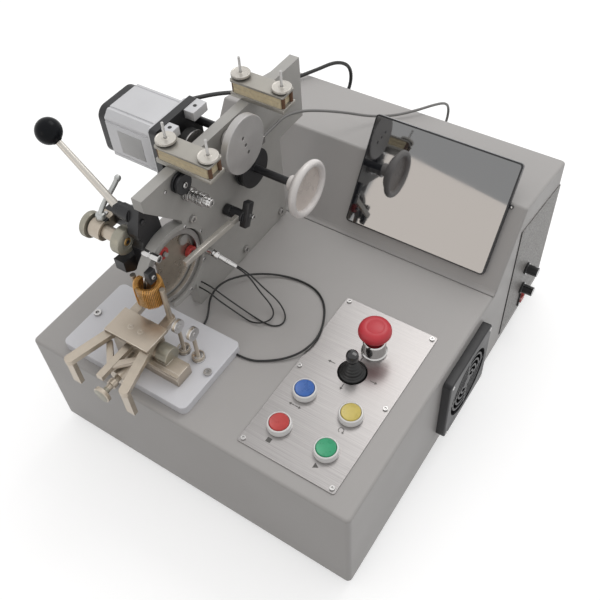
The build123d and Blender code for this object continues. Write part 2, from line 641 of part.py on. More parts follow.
# ---------------------------------------------------------------- switches on the plate
BORE_FLOOR = PANEL_TOP + 1.0
CAP_SEAT = BORE_FLOOR + CAP_TRAVEL
CAP_BORE = CAP_RADIUS + SLIDE_CLEARANCE
with BuildPart() as switch_bodies:
    for x, y in BUTTONS.values():
        bar_z(PANEL_TOP, PANEL_TOP + BEZEL_HEIGHT, x, y, BEZEL_RADIUS)
    chamfer(switch_bodies.edges().group_by(Axis.Z)[-1], 1.2)
    bar_z(PANEL_TOP, PANEL_TOP + STOP_COLLAR_HEIGHT, *STOP_SPOT, STOP_COLLAR_RADIUS)
    for x, y in (*BUTTONS.values(), STOP_SPOT):
        bar_z(TOP - SWITCH_TUBE_DEPTH, PANEL_TOP, x, y, SWITCH_TUBE_RADIUS)
    for x, y in BUTTONS.values():
        bar_z(BORE_FLOOR, PANEL_TOP + BEZEL_HEIGHT, x, y, CAP_BORE, Mode.SUBTRACT)
        stem_bore = CAP_STEM_RADIUS + SLIDE_CLEARANCE
        bar_z(TOP - SWITCH_TUBE_DEPTH + SHEET, BORE_FLOOR, x, y, stem_bore, Mode.SUBTRACT)
    bar_z(
        TOP - SWITCH_TUBE_DEPTH + SHEET,
        PANEL_TOP + STOP_COLLAR_HEIGHT,
        *STOP_SPOT,
        STOP_STEM_RADIUS + SLIDE_CLEARANCE,
        Mode.SUBTRACT,
    )
save(switch_bodies.part, "switch_bodies")

for name, (x, y) in BUTTONS.items():
    with BuildPart() as cap:
        bar_z(CAP_SEAT, CAP_SEAT + CAP_HEIGHT, x, y, CAP_RADIUS)
        fillet(cap.edges().group_by(Axis.Z)[-1], 1.0)
        bar_z(TOP - SWITCH_TUBE_DEPTH / 2, CAP_SEAT, x, y, CAP_STEM_RADIUS)
    save(cap.part, name)

STOP_NECK_Z = PANEL_TOP + STOP_COLLAR_HEIGHT + STOP_TRAVEL + 0.6
STOP_HEAD_Z = STOP_NECK_Z + STOP_NECK_LENGTH
with BuildPart() as stop_head:
    bar_z(STOP_HEAD_Z, STOP_HEAD_Z + STOP_HEAD_HEIGHT, *STOP_SPOT, STOP_HEAD_RADIUS)
    fillet(stop_head.edges().group_by(Axis.Z)[-1], STOP_HEAD_HEIGHT * 0.6)
    with BuildSketch(Plane.XY.offset(STOP_NECK_Z)) as neck_low:
        with Locations(STOP_SPOT):
            Circle(STOP_NECK_RADIUS)
    with BuildSketch(Plane.XY.offset(STOP_HEAD_Z)) as neck_high:
        with Locations(STOP_SPOT):
            Circle(STOP_HEAD_RADIUS - SHEET)
    loft()
    bar_z(TOP - SWITCH_TUBE_DEPTH / 2, STOP_NECK_Z, *STOP_SPOT, STOP_STEM_RADIUS)
save(stop_head.part, "stop_head")

GIMBAL_BORE = STICK_HOLE_RADIUS
with BuildPart() as joystick_gimbal:
    with BuildSketch(Plane.XY.offset(STICK_PIVOT - GIMBAL_DROP - GIMBAL_THICKNESS)):
        with Locations(STICK_SPOT):
            Circle(GIMBAL_BORE + GIMBAL_RING_WIDTH)
            Circle(GIMBAL_BORE, mode=Mode.SUBTRACT)
    extrude(amount=GIMBAL_THICKNESS)
save(joystick_gimbal.part, "joystick_gimbal")

STICK_CUT = GIMBAL_THICKNESS * 1.5
with BuildPart() as joystick_stick:
    with Locations((*STICK_SPOT, STICK_PIVOT)):
        Sphere(STICK_BALL_RADIUS)
    block(
        (STICK_SPOT[0] - 2 * STICK_BALL_RADIUS, STICK_SPOT[0] + 2 * STICK_BALL_RADIUS),
        (STICK_SPOT[1] - 2 * STICK_BALL_RADIUS, STICK_SPOT[1] + 2 * STICK_BALL_RADIUS),
        (STICK_PIVOT - 2 * STICK_BALL_RADIUS, STICK_PIVOT - STICK_CUT),
        Mode.SUBTRACT,
    )
    cone_foot = STICK_BALL_RADIUS * 0.5
    with BuildSketch(Plane.XY.offset(STICK_PIVOT + cone_foot)):
        with Locations(STICK_SPOT):
            Circle(math.sqrt(STICK_BALL_RADIUS**2 - cone_foot**2) - 0.5)
    with BuildSketch(Plane.XY.offset(PANEL_TOP + STICK_CONE_HEIGHT)):
        with Locations(STICK_SPOT):
            Circle(STICK_NECK_RADIUS)
    loft()
    bar_z(STICK_PIVOT, PANEL_TOP + STICK_HEIGHT - STICK_KNOB_RADIUS, *STICK_SPOT, STICK_NECK_RADIUS)
    bar_z(
        PANEL_TOP + STICK_HEIGHT - 2 * STICK_KNOB_RADIUS,
        PANEL_TOP + STICK_HEIGHT,
        *STICK_SPOT,
        STICK_KNOB_RADIUS,
    )
    fillet(joystick_stick.edges().group_by(Axis.Z)[-1], STICK_KNOB_RADIUS * 0.5)
save(joystick_stick.part, "joystick_stick")

# ---------------------------------------------------------------- fan and side fittings
FAN_FACE = RIGHT + FAN_PROUD
FAN_BORE = FAN_SIZE / 2 - FAN_WALL - 2 * SHEET
ROTOR_RADIUS = FAN_BORE - 1.5
with BuildPart() as fan_housing:
    with BuildSketch(Plane.YZ.offset(RIGHT)):
        with Locations((FAN_Y, FAN_Z)):
            RectangleRounded(FAN_SIZE, FAN_SIZE, FAN_CORNER)
    extrude(amount=FAN_PROUD)
    fillet(fan_housing.faces().sort_by(Axis.X)[-1].edges(), SHEET)
    bar_x(RIGHT - FAN_INSIDE, RIGHT, FAN_Y, FAN_Z, FAN_SIZE / 2 - FAN_WALL)
    bar_x(RIGHT - FAN_INSIDE, FAN_FACE, FAN_Y, FAN_Z, FAN_BORE, Mode.SUBTRACT)
    # the grille: rings on four spokes
    with BuildSketch(Plane.YZ.offset(FAN_FACE - FAN_GRILLE)):
        with Locations((FAN_Y, FAN_Z)):
            for ring in range(5, 0, -1):
                Circle(FAN_BORE * ring / 6 + 2)
                Circle(FAN_BORE * ring / 6 - 1, mode=Mode.SUBTRACT)
            Circle(FAN_BORE / 6)
            Rectangle(2 * FAN_BORE + SHEET, 4)
            Rectangle(4, 2 * FAN_BORE + SHEET)
    extrude(amount=FAN_GRILLE - SHEET / 2)
    # the motor boss on its struts, behind the rotor
    with BuildSketch(Plane.YZ.offset(RIGHT - FAN_INSIDE)):
        with Locations((FAN_Y, FAN_Z)):
            Circle(FAN_HUB_RADIUS)
            Rectangle(2 * FAN_BORE + SHEET, 5)
            Rectangle(5, 2 * FAN_BORE + SHEET)
    extrude(amount=4)
save(fan_housing.part, "fan_housing")

ROTOR_BACK = RIGHT - FAN_INSIDE + 4.3
ROTOR_FRONT = FAN_FACE - FAN_GRILLE - 4
with BuildPart() as fan_rotor:
    bar_x(ROTOR_BACK, ROTOR_FRONT, FAN_Y, FAN_Z, FAN_HUB_RADIUS - 1)
    for blade in range(FAN_BLADES):
        turn = 360.0 * blade / FAN_BLADES
        with Locations(Location(((ROTOR_BACK + ROTOR_FRONT) / 2, FAN_Y, FAN_Z), (turn, 0, 0))):
            with Locations(Location((0, 0, (ROTOR_RADIUS + FAN_HUB_RADIUS) / 2 - 2), (0, 0, 42))):
                Box(26, 1.8, ROTOR_RADIUS - FAN_HUB_RADIUS + 2)
    with BuildSketch(Plane.YZ.offset(ROTOR_BACK)):
        with Locations((FAN_Y, FAN_Z)):
            Circle(ROTOR_RADIUS)
    extrude(amount=ROTOR_FRONT - ROTOR_BACK, mode=Mode.INTERSECT)
save(fan_rotor.part, "fan_rotor")

COVER_FACE = RIGHT + COVER_SHEET
ROCKER_FRAME_FACE = COVER_FACE + 2.5
with BuildPart() as side_fittings:
    for fuse_z in FUSE_ZS:
        bar_x(RIGHT - FUSE_BODY_LENGTH, COVER_FACE, FUSE_Y, fuse_z, FUSE_BODY_RADIUS)
        bar_x(COVER_FACE, COVER_FACE + 3, FUSE_Y, fuse_z, FUSE_FLANGE_RADIUS)
        bar_x(COVER_FACE + 3, COVER_FACE + FUSE_KNOB_LENGTH, FUSE_Y, fuse_z, FUSE_KNOB_RADIUS)
    with BuildSketch(Plane.YZ.offset(COVER_FACE)):
        with Locations((ROCKER_Y, ROCKER_Z)):
            RectangleRounded(ROCKER_WIDTH + 2 * ROCKER_FRAME, ROCKER_HEIGHT + 2 * ROCKER_FRAME, 2)
    extrude(amount=ROCKER_FRAME_FACE - COVER_FACE)
    block(
        (RIGHT - ROCKER_DEPTH, COVER_FACE),
        (ROCKER_Y - ROCKER_WIDTH / 2, ROCKER_Y + ROCKER_WIDTH / 2),
        (ROCKER_Z - ROCKER_HEIGHT / 2, ROCKER_Z + ROCKER_HEIGHT / 2),
    )
    block(
        (RIGHT - ROCKER_DEPTH + SHEET, ROCKER_FRAME_FACE),
        (ROCKER_Y - ROCKER_WIDTH / 2 + SHEET / 2, ROCKER_Y + ROCKER_WIDTH / 2 - SHEET / 2),
        (ROCKER_Z - ROCKER_HEIGHT / 2 + SHEET / 2, ROCKER_Z + ROCKER_HEIGHT / 2 - SHEET / 2),
        Mode.SUBTRACT,
    )
save(side_fittings.part, "side_fittings")

ROCKER_PIVOT = COVER_FACE - 4.0
ROCKER_HALF = ROCKER_HEIGHT / 2 - SHEET / 2 - 1.0
ROCKER_NOSE = ROCKER_FRAME_FACE + 2.5
with BuildPart() as rocker_button:
    with BuildSketch(Plane.XZ.offset(-(ROCKER_Y + ROCKER_WIDTH / 2 - SHEET / 2 - SLIDE_CLEARANCE))):
        with BuildLine():
            Polyline(
                (ROCKER_PIVOT - 5, ROCKER_Z - 4),
                (ROCKER_NOSE - 3, ROCKER_Z - ROCKER_HALF + 1),
                (ROCKER_NOSE - 1, ROCKER_Z - ROCKER_HALF + 1),
                (ROCKER_NOSE - 2, ROCKER_Z),
                (ROCKER_NOSE + 1, ROCKER_Z + ROCKER_HALF - 1),
                (ROCKER_NOSE - 3, ROCKER_Z + ROCKER_HALF - 1),
                (ROCKER_PIVOT - 5, ROCKER_Z + 4),
                close=True,
            )
        make_face()
    extrude(amount=ROCKER_WIDTH - SHEET - 2 * SLIDE_CLEARANCE)
save(rocker_button.part, "rocker_button")

# power supply, motor drive and control board, on the bottom plate
SUPPLY_LEFT = LEFT + 43.0
SUPPLY_FRONT = CONSOLE_FRONT - 37.0
DRIVE_LEFT = SUPPLY_LEFT + SUPPLY_SIZE[0] + 30.0
BOARD_LEFT = LEFT + 73.0
BOARD_FRONT = FRONT + 134.0
BOARD_FOOT = FLOOR + BOARD_STANDOFF
BOARD_TOP = BOARD_FOOT + BOARD_SIZE[2]
with BuildPart() as electronics:
    for left, front, size in (
        (SUPPLY_LEFT, SUPPLY_FRONT, SUPPLY_SIZE),
        (DRIVE_LEFT, SUPPLY_FRONT + 20.0, DRIVE_SIZE),
    ):
        block((left, left + size[0]), (front, front + size[1]), (FLOOR, FLOOR + size[2]))
    block(
        (BOARD_LEFT, BOARD_LEFT + BOARD_SIZE[0]),
        (BOARD_FRONT, BOARD_FRONT + BOARD_SIZE[1]),
        (BOARD_FOOT, BOARD_TOP),
    )
    for post_x in (BOARD_LEFT + 5.0, BOARD_LEFT + BOARD_SIZE[0] - 5.0):
        for post_y in (BOARD_FRONT + 5.0, BOARD_FRONT + BOARD_SIZE[1] - 5.0):
            bar_z(FLOOR, BOARD_FOOT, post_x, post_y, 3)
    block(
        (BOARD_LEFT + BOARD_SIZE[0] / 4, BOARD_LEFT + BOARD_SIZE[0] * 3 / 4),
        (BOARD_FRONT + BOARD_SIZE[1] / 4, BOARD_FRONT + BOARD_SIZE[1] * 3 / 4),
        (BOARD_TOP, BOARD_TOP + CHIP_HEIGHT),
    )
save(electronics.part, "electronics")

# ---------------------------------------------------------------- head plate
with BuildPart() as head_plate:
    with BuildSketch(Plane.YZ.offset(PLATE_LEFT)):
        with BuildLine():
            Polyline(
                (PLATE_FOOT_FRONT, TOP),
                (PLATE_FOOT_BACK, TOP),
                (PLATE_FOOT_BACK, PLATE_TOP - PLATE_TAIL_HEIGHT),
                (PLATE_TAIL, PLATE_TOP - PLATE_TAIL_HEIGHT),
                (PLATE_TAIL, PLATE_TOP),
                (PLATE_BEAK, PLATE_TOP),
                (PLATE_BEAK, PLATE_TOP - PLATE_BEAK_DEPTH),
                (PLATE_FOOT_FRONT, RING_Z + HOUSING_RADIUS),
                close=True,
            )
        make_face()
        with Locations((RING_Y, RING_Z)):
            Circle(HOUSING_RADIUS, mode=Mode.SUBTRACT)
        for spot, radius in (
            (DISC_SPOT, DISC_PIN_RADIUS),
            (WHEEL_SPOT, WHEEL_SHAFT_RADIUS),
            (PULLEY_SPOT, PIN_RADIUS),
            (SPINDLE_SPOT, PIN_RADIUS),
            (ARM_SPOT, PIN_RADIUS),
        ):
            with Locations(spot):
                Circle(radius + RUN_CLEARANCE, mode=Mode.SUBTRACT)
    extrude(amount=PLATE_THICKNESS)
    block(
        (PLATE_LEFT - PLATE_FLANGE_WIDTH, PLATE_LEFT),
        (PLATE_FOOT_FRONT + 10, PLATE_FOOT_BACK - 10),
        (TOP, TOP + PLATE_FLANGE),
    )
save(head_plate.part, "head_plate")

# ---------------------------------------------------------------- motor drive on the far side
with BuildPart() as motor_bracket:
    with BuildSketch(Plane.YZ.offset(MOTOR_FACE)):
        with Locations((MOTOR_Y, MOTOR_Z)):
            RectangleRounded(MOTOR_SIZE + 6, MOTOR_SIZE + 6, 4)
            Circle(MOTOR_SHAFT_RADIUS + 6, mode=Mode.SUBTRACT)
    extrude(amount=MOTOR_BRACKET)
    for post_y, post_z in ((-POST_REACH, -POST_REACH), (-POST_REACH, 8.0), (POST_REACH, 10.0)):
        bar_x(MOTOR_FACE + MOTOR_BRACKET, PLATE_LEFT, MOTOR_Y + post_y, MOTOR_Z + post_z, 5)
    # the two guard blocks over the belt
    for low, high in ((-28.0, -14.0), (12.0, 36.0)):
        block(
            (MOTOR_FACE + MOTOR_BRACKET, MOTOR_FACE + MOTOR_BRACKET + GUARD_LENGTH),
            (MOTOR_Y + low, MOTOR_Y + high),
            (MOTOR_Z + MOTOR_SIZE / 2 - 9, MOTOR_Z + MOTOR_SIZE / 2 + 2),
        )
save(motor_bracket.part, "motor_bracket")

with BuildPart() as motor_body:
    with BuildSketch(Plane.YZ.offset(MOTOR_FACE - MOTOR_LENGTH)):
        with Locations((MOTOR_Y, MOTOR_Z)):
            Rectangle(MOTOR_SIZE, MOTOR_SIZE)
        chamfer(vertices(), MOTOR_CHAMFER)
        with Locations((MOTOR_Y, MOTOR_Z)):
            Circle(MOTOR_SHAFT_RADIUS + 1, mode=Mode.SUBTRACT)
    extrude(amount=MOTOR_LENGTH)
save(motor_body.part, "motor_body")

MOTOR_END = MOTOR_FACE - MOTOR_LENGTH
with BuildPart() as motor_cap:
    with BuildSketch(Plane.YZ.offset(MOTOR_END - MOTOR_CAP_LENGTH)):
        with Locations((MOTOR_Y, MOTOR_Z)):
            RectangleRounded(MOTOR_SIZE - 4, MOTOR_SIZE - 4, 14)
    extrude(amount=MOTOR_CAP_LENGTH)
    fillet(motor_cap.faces().sort_by(Axis.X)[0].edges(), 4)
save(motor_cap.part, "motor_cap")

with BuildPart() as motor_pulley:
    bar_x(MOTOR_END + SHEET, PLATE_LEFT - SHEET, MOTOR_Y, MOTOR_Z, MOTOR_SHAFT_RADIUS)
    bar_x(BELT_X - BELT_WIDTH / 2, BELT_X + BELT_WIDTH / 2, MOTOR_Y, MOTOR_Z, BELT_PULLEY_RADIUS)
    bar_x(BELT_X + BELT_WIDTH / 2, BELT_X + BELT_WIDTH / 2 + 1.5, MOTOR_Y, MOTOR_Z, BELT_PULLEY_RADIUS + 3)
save(motor_pulley.part, "motor_pulley")

BELT_INSIDE = BELT_PULLEY_RADIUS + BELT_GAP
BELT_RUN = math.hypot(WHEEL_Y - MOTOR_Y, WHEEL_Z - MOTOR_Z)
BELT_TILT = math.degrees(math.atan2(WHEEL_Z - MOTOR_Z, WHEEL_Y - MOTOR_Y))
with BuildPart() as drive_belt:
    with BuildSketch(Plane.YZ.offset(BELT_X - BELT_WIDTH / 2 + 0.3)):
        with Locations(Location(((MOTOR_Y + WHEEL_Y) / 2, (MOTOR_Z + WHEEL_Z) / 2, 0), (0, 0, BELT_TILT))):
            SlotCenterToCenter(BELT_RUN, 2 * (BELT_INSIDE + BELT_THICKNESS))
            SlotCenterToCenter(BELT_RUN, 2 * BELT_INSIDE, mode=Mode.SUBTRACT)
    extrude(amount=BELT_WIDTH - 0.6)
save(drive_belt.part, "drive_belt")

# ---------------------------------------------------------------- hand wheel, disc and guide pulley
GUIDE_PULLEY_X = PLATE_RIGHT + 5.0
with BuildPart() as wheel_shaft:
    bar_x(PLATE_LEFT - MOTOR_GAP, WHEEL_X, *WHEEL_SPOT, WHEEL_SHAFT_RADIUS)
    bar_x(BELT_X - BELT_WIDTH / 2, BELT_X + BELT_WIDTH / 2, *WHEEL_SPOT, BELT_PULLEY_RADIUS)
    bar_x(BELT_X + BELT_WIDTH / 2, BELT_X + BELT_WIDTH / 2 + 1.5, *WHEEL_SPOT, BELT_PULLEY_RADIUS + 3)
    with BuildSketch(Plane.YZ.offset(GUIDE_PULLEY_X)):
        with Locations(WHEEL_SPOT):
            Circle(GUIDE_PULLEY_RADIUS)
    extrude(amount=GUIDE_PULLEY_WIDTH)
    with BuildSketch(Plane.YZ.offset(GUIDE_PULLEY_X + 3)):
        with Locations(WHEEL_SPOT):
            Circle(GUIDE_PULLEY_RADIUS + 1)
            Circle(GUIDE_PULLEY_RADIUS - 3, mode=Mode.SUBTRACT)
    extrude(amount=GUIDE_PULLEY_WIDTH - 6, mode=Mode.SUBTRACT)
save(wheel_shaft.part, "wheel_shaft")

with BuildPart() as handwheel:
    with BuildSketch(Plane.XZ.offset(-WHEEL_Y)):
        with BuildLine():
            Polyline(
                (WHEEL_X - WHEEL_HUB_LENGTH, WHEEL_Z + WHEEL_SHAFT_RADIUS),
                (WHEEL_X - WHEEL_HUB_LENGTH, WHEEL_Z + WHEEL_HUB_RADIUS),
                (WHEEL_X - 1, WHEEL_Z + WHEEL_HUB_RADIUS + 2),
                (WHEEL_X + 2, WHEEL_Z + WHEEL_RADIUS * 0.72),
                (WHEEL_X + WHEEL_WIDTH - 5, WHEEL_Z + WHEEL_RADIUS - 1),
                (WHEEL_X + WHEEL_WIDTH - 2, WHEEL_Z + WHEEL_RADIUS),
                (WHEEL_X + WHEEL_WIDTH, WHEEL_Z + WHEEL_RADIUS - 3),
                (WHEEL_X + WHEEL_WIDTH - 2, WHEEL_Z + WHEEL_RADIUS - WHEEL_RIM - 1),
                (WHEEL_X + WHEEL_WEB + 3, WHEEL_Z + WHEEL_RADIUS * 0.68),
                (WHEEL_X + WHEEL_WEB, WHEEL_Z + WHEEL_HUB_RADIUS),
                (WHEEL_X + WHEEL_WEB, WHEEL_Z),
                (WHEEL_X, WHEEL_Z),
                (WHEEL_X, WHEEL_Z + WHEEL_SHAFT_RADIUS),
                close=True,
            )
        make_face()
    revolve(axis=Axis((0, WHEEL_Y, WHEEL_Z), (1, 0, 0)))
save(handwheel.part, "handwheel")

DISC_X = PLATE_RIGHT + DISC_STANDOFF
with BuildPart() as grey_disc:
    bar_x(PLATE_LEFT, DISC_X, *DISC_SPOT, DISC_PIN_RADIUS)
    bar_x(PLATE_RIGHT + 1, DISC_X, *DISC_SPOT, DISC_PIN_RADIUS + 4)
    bar_x(DISC_X, DISC_X + DISC_WIDTH, *DISC_SPOT, DISC_RADIUS)
    fillet(grey_disc.faces().sort_by(Axis.X)[-1].edges(), 1.2)
    for hole in (-1, 0, 1):
        bar_x(
            DISC_X + 2,
            DISC_X + 2 * DISC_WIDTH,
            DISC_SPOT[0] - hole * DISC_HOLE_PITCH * 0.3,
            DISC_SPOT[1] + hole * DISC_HOLE_PITCH,
            DISC_HOLE_RADIUS,
            Mode.SUBTRACT,
        )
save(grey_disc.part, "grey_disc")

# ---------------------------------------------------------------- wire path on the plate
with BuildPart() as wire_tensioners:
    for middle_y in TENSION_YS:
        x_span = (TENSION_X - TENSION_WIDTH / 2, TENSION_X + TENSION_WIDTH / 2)
        y_span = (middle_y - TENSION_DEPTH / 2, middle_y + TENSION_DEPTH / 2)
        felt_x = (x_span[0] + 3, x_span[1] - 3)
        felt_y = (y_span[0] + 1, y_span[1] - 1)
        block(x_span, y_span, (PLATE_TOP, PLATE_TOP + TENSION_BASE))
        block(felt_x, felt_y, (PLATE_TOP + TENSION_BASE, TENSION_TOP - TENSION_PLATE))
        block(x_span, y_span, (TENSION_TOP - TENSION_PLATE, TENSION_TOP))
        for stud_x in STUD_XS:
            bar_z(TENSION_TOP, TENSION_TOP + STUD_LENGTH, stud_x, middle_y, STUD_RADIUS)
save(wire_tensioners.part, "wire_tensioners")

NUT_SPOTS = {
    "thumb_nut_front_left": (STUD_XS[0], TENSION_YS[0]),
    "thumb_nut_front_right": (STUD_XS[1], TENSION_YS[0]),
    "thumb_nut_rear_left": (STUD_XS[0], TENSION_YS[1]),
    "thumb_nut_rear_right": (STUD_XS[1], TENSION_YS[1]),
}
for name, (x, y) in NUT_SPOTS.items():
    with BuildPart() as nut:
        bar_z(TENSION_TOP + FACE_GAP, TENSION_TOP + FACE_GAP + NUT_THICKNESS, x, y, NUT_RADIUS)
        fillet(nut.edges(), 1.5)
        bar_z(TENSION_TOP, TENSION_TOP + 2 * NUT_THICKNESS, x, y, STUD_RADIUS + RUN_CLEARANCE, Mode.SUBTRACT)
    save(nut.part, name)

with BuildPart() as wire_pulley:
    bar_x(PLATE_LEFT, PLATE_RIGHT + 1, *PULLEY_SPOT, PIN_RADIUS)
    bar_x(PLATE_RIGHT + 1, PLATE_RIGHT + 1 + WIRE_PULLEY_WIDTH, *PULLEY_SPOT, WIRE_PULLEY_RADIUS)
    with BuildSketch(Plane.YZ.offset(PLATE_RIGHT + 3.5)):
        with Locations(PULLEY_SPOT):
            Circle(WIRE_PULLEY_RADIUS + 1)
            Circle(WIRE_PULLEY_RADIUS - 3, mode=Mode.SUBTRACT)
    extrude(amount=WIRE_PULLEY_WIDTH - 5, mode=Mode.SUBTRACT)
save(wire_pulley.part, "wire_pulley")

with BuildPart() as chrome_spindle:
    bar_x(PLATE_LEFT, PLATE_RIGHT + 1, *SPINDLE_SPOT, PIN_RADIUS)
    for step, radius in enumerate(SPINDLE_RADII):
        step_x = PLATE_RIGHT + 1 + step * SPINDLE_STEP
        bar_x(step_x, step_x + SPINDLE_STEP, *SPINDLE_SPOT, radius)
save(chrome_spindle.part, "chrome_spindle")

ARM_X = PLATE_RIGHT + ARM_STANDOFF
ARM_LENGTH = math.hypot(ARM_REACH, ARM_RISE)
ARM_TILT = math.degrees(math.atan2(ARM_RISE, -ARM_REACH))
with BuildPart() as swing_arm:
    bar_x(PLATE_LEFT, PLATE_RIGHT + 1, *ARM_SPOT, PIN_RADIUS)
    bar_x(PLATE_RIGHT + 1, ARM_X + ARM_THICKNESS + 3, *ARM_SPOT, ARM_HUB_RADIUS)
    with BuildSketch(Plane.YZ.offset(ARM_X)):
        with Locations(Location((ARM_Y - ARM_REACH / 2, ARM_Z + ARM_RISE / 2, 0), (0, 0, ARM_TILT))):
            SlotOverall(ARM_LENGTH + ARM_HEIGHT, ARM_HEIGHT)
    extrude(amount=ARM_THICKNESS)
    with BuildSketch(Plane.YZ.offset(ARM_X + ARM_THICKNESS)):
        with Locations(Location((ARM_Y + 4, ARM_Z + 2, 0), (0, 0, -25))):
            RectangleRounded(11, ARM_CLAMP_HEIGHT, 2)
    extrude(amount=9)
    bar_x(ARM_X + ARM_THICKNESS + 9, ARM_X + ARM_THICKNESS + 13, ARM_Y + 7, ARM_Z - 2, 3.5)
save(swing_arm.part, "swing_arm")

# ---------------------------------------------------------------- winding ring
RIM_INNER = RING_OUTER_RADIUS + RIM_GAP
RING_LEFT = PLATE_LEFT + HOUSING_WEB + 1.0
CORE_CUT_Y = CORE_Y + WOUND_RADIUS + 5
ROLLER_SPOTS = {
    "ring_roller_upper": ROLLER_UPPER_ANGLE,
    "ring_roller_rear": ROLLER_REAR_ANGLE,
}


def roller_place(angle):
    """Where a ring roller's axle is, from its angle round the ring's axis."""
    turn = math.radians(angle)
    return (RING_Y + ROLLER_ORBIT * math.cos(turn), RING_Z + ROLLER_ORBIT * math.sin(turn))


with BuildPart() as ring_housing:
    with BuildSketch(Plane.YZ.offset(PLATE_LEFT)):
        with Locations((RING_Y, RING_Z)):
            Circle(HOUSING_RADIUS)
    extrude(amount=HOUSING_WEB)
    with BuildSketch(Plane.YZ.offset(PLATE_LEFT + HOUSING_WEB)):
        with Locations((RING_Y, RING_Z)):
            Circle(HOUSING_RADIUS)
            Circle(RIM_INNER, mode=Mode.SUBTRACT)
    extrude(amount=PLATE_THICKNESS - HOUSING_WEB)
    # open at the front, where the core and the chuck's fingers stand
    block(
        (PLATE_LEFT - SHEET, PLATE_RIGHT + SHEET),
        (RING_Y - 2 * HOUSING_RADIUS, CORE_CUT_Y),
        (RING_Z - 2 * HOUSING_RADIUS, RING_Z + 30),
        Mode.SUBTRACT,
    )
    for angle in ROLLER_SPOTS.values():
        bar_x(PLATE_LEFT + HOUSING_WEB, PLATE_RIGHT, *roller_place(angle), ROLLER_PIN_RADIUS)
    bar_x(PLATE_LEFT + HOUSING_WEB, RING_LEFT + 2, *roller_place(WASHER_ANGLE), WASHER_RADIUS)
save(ring_housing.part, "ring_housing")

with BuildPart() as winding_ring:
    with BuildSketch(Plane.YZ.offset(RING_LEFT)):
        with Locations((RING_Y, RING_Z)):
            Circle(RING_OUTER_RADIUS)
            Circle(RING_INNER_RADIUS, mode=Mode.SUBTRACT)
    extrude(amount=RING_THICKNESS)
    with BuildSketch(Plane.YZ.offset(RING_LEFT + RING_GROOVE)):
        with Locations((RING_Y, RING_Z)):
            Circle(RING_OUTER_RADIUS + 1)
            Circle(RING_OUTER_RADIUS - RING_GROOVE, mode=Mode.SUBTRACT)
    extrude(amount=RING_THICKNESS - 2 * RING_GROOVE, mode=Mode.SUBTRACT)
save(winding_ring.part, "winding_ring")

for name, angle in ROLLER_SPOTS.items():
    with BuildPart() as roller:
        spot = roller_place(angle)
        bar_x(RING_LEFT, RING_LEFT + RING_THICKNESS, *spot, ROLLER_RADIUS)
        fillet(roller.edges(), 0.8)
        bore = ROLLER_PIN_RADIUS + RUN_CLEARANCE
        bar_x(RING_LEFT - 1, RING_LEFT + 2 * RING_THICKNESS, *spot, bore, Mode.SUBTRACT)
    save(roller.part, name)

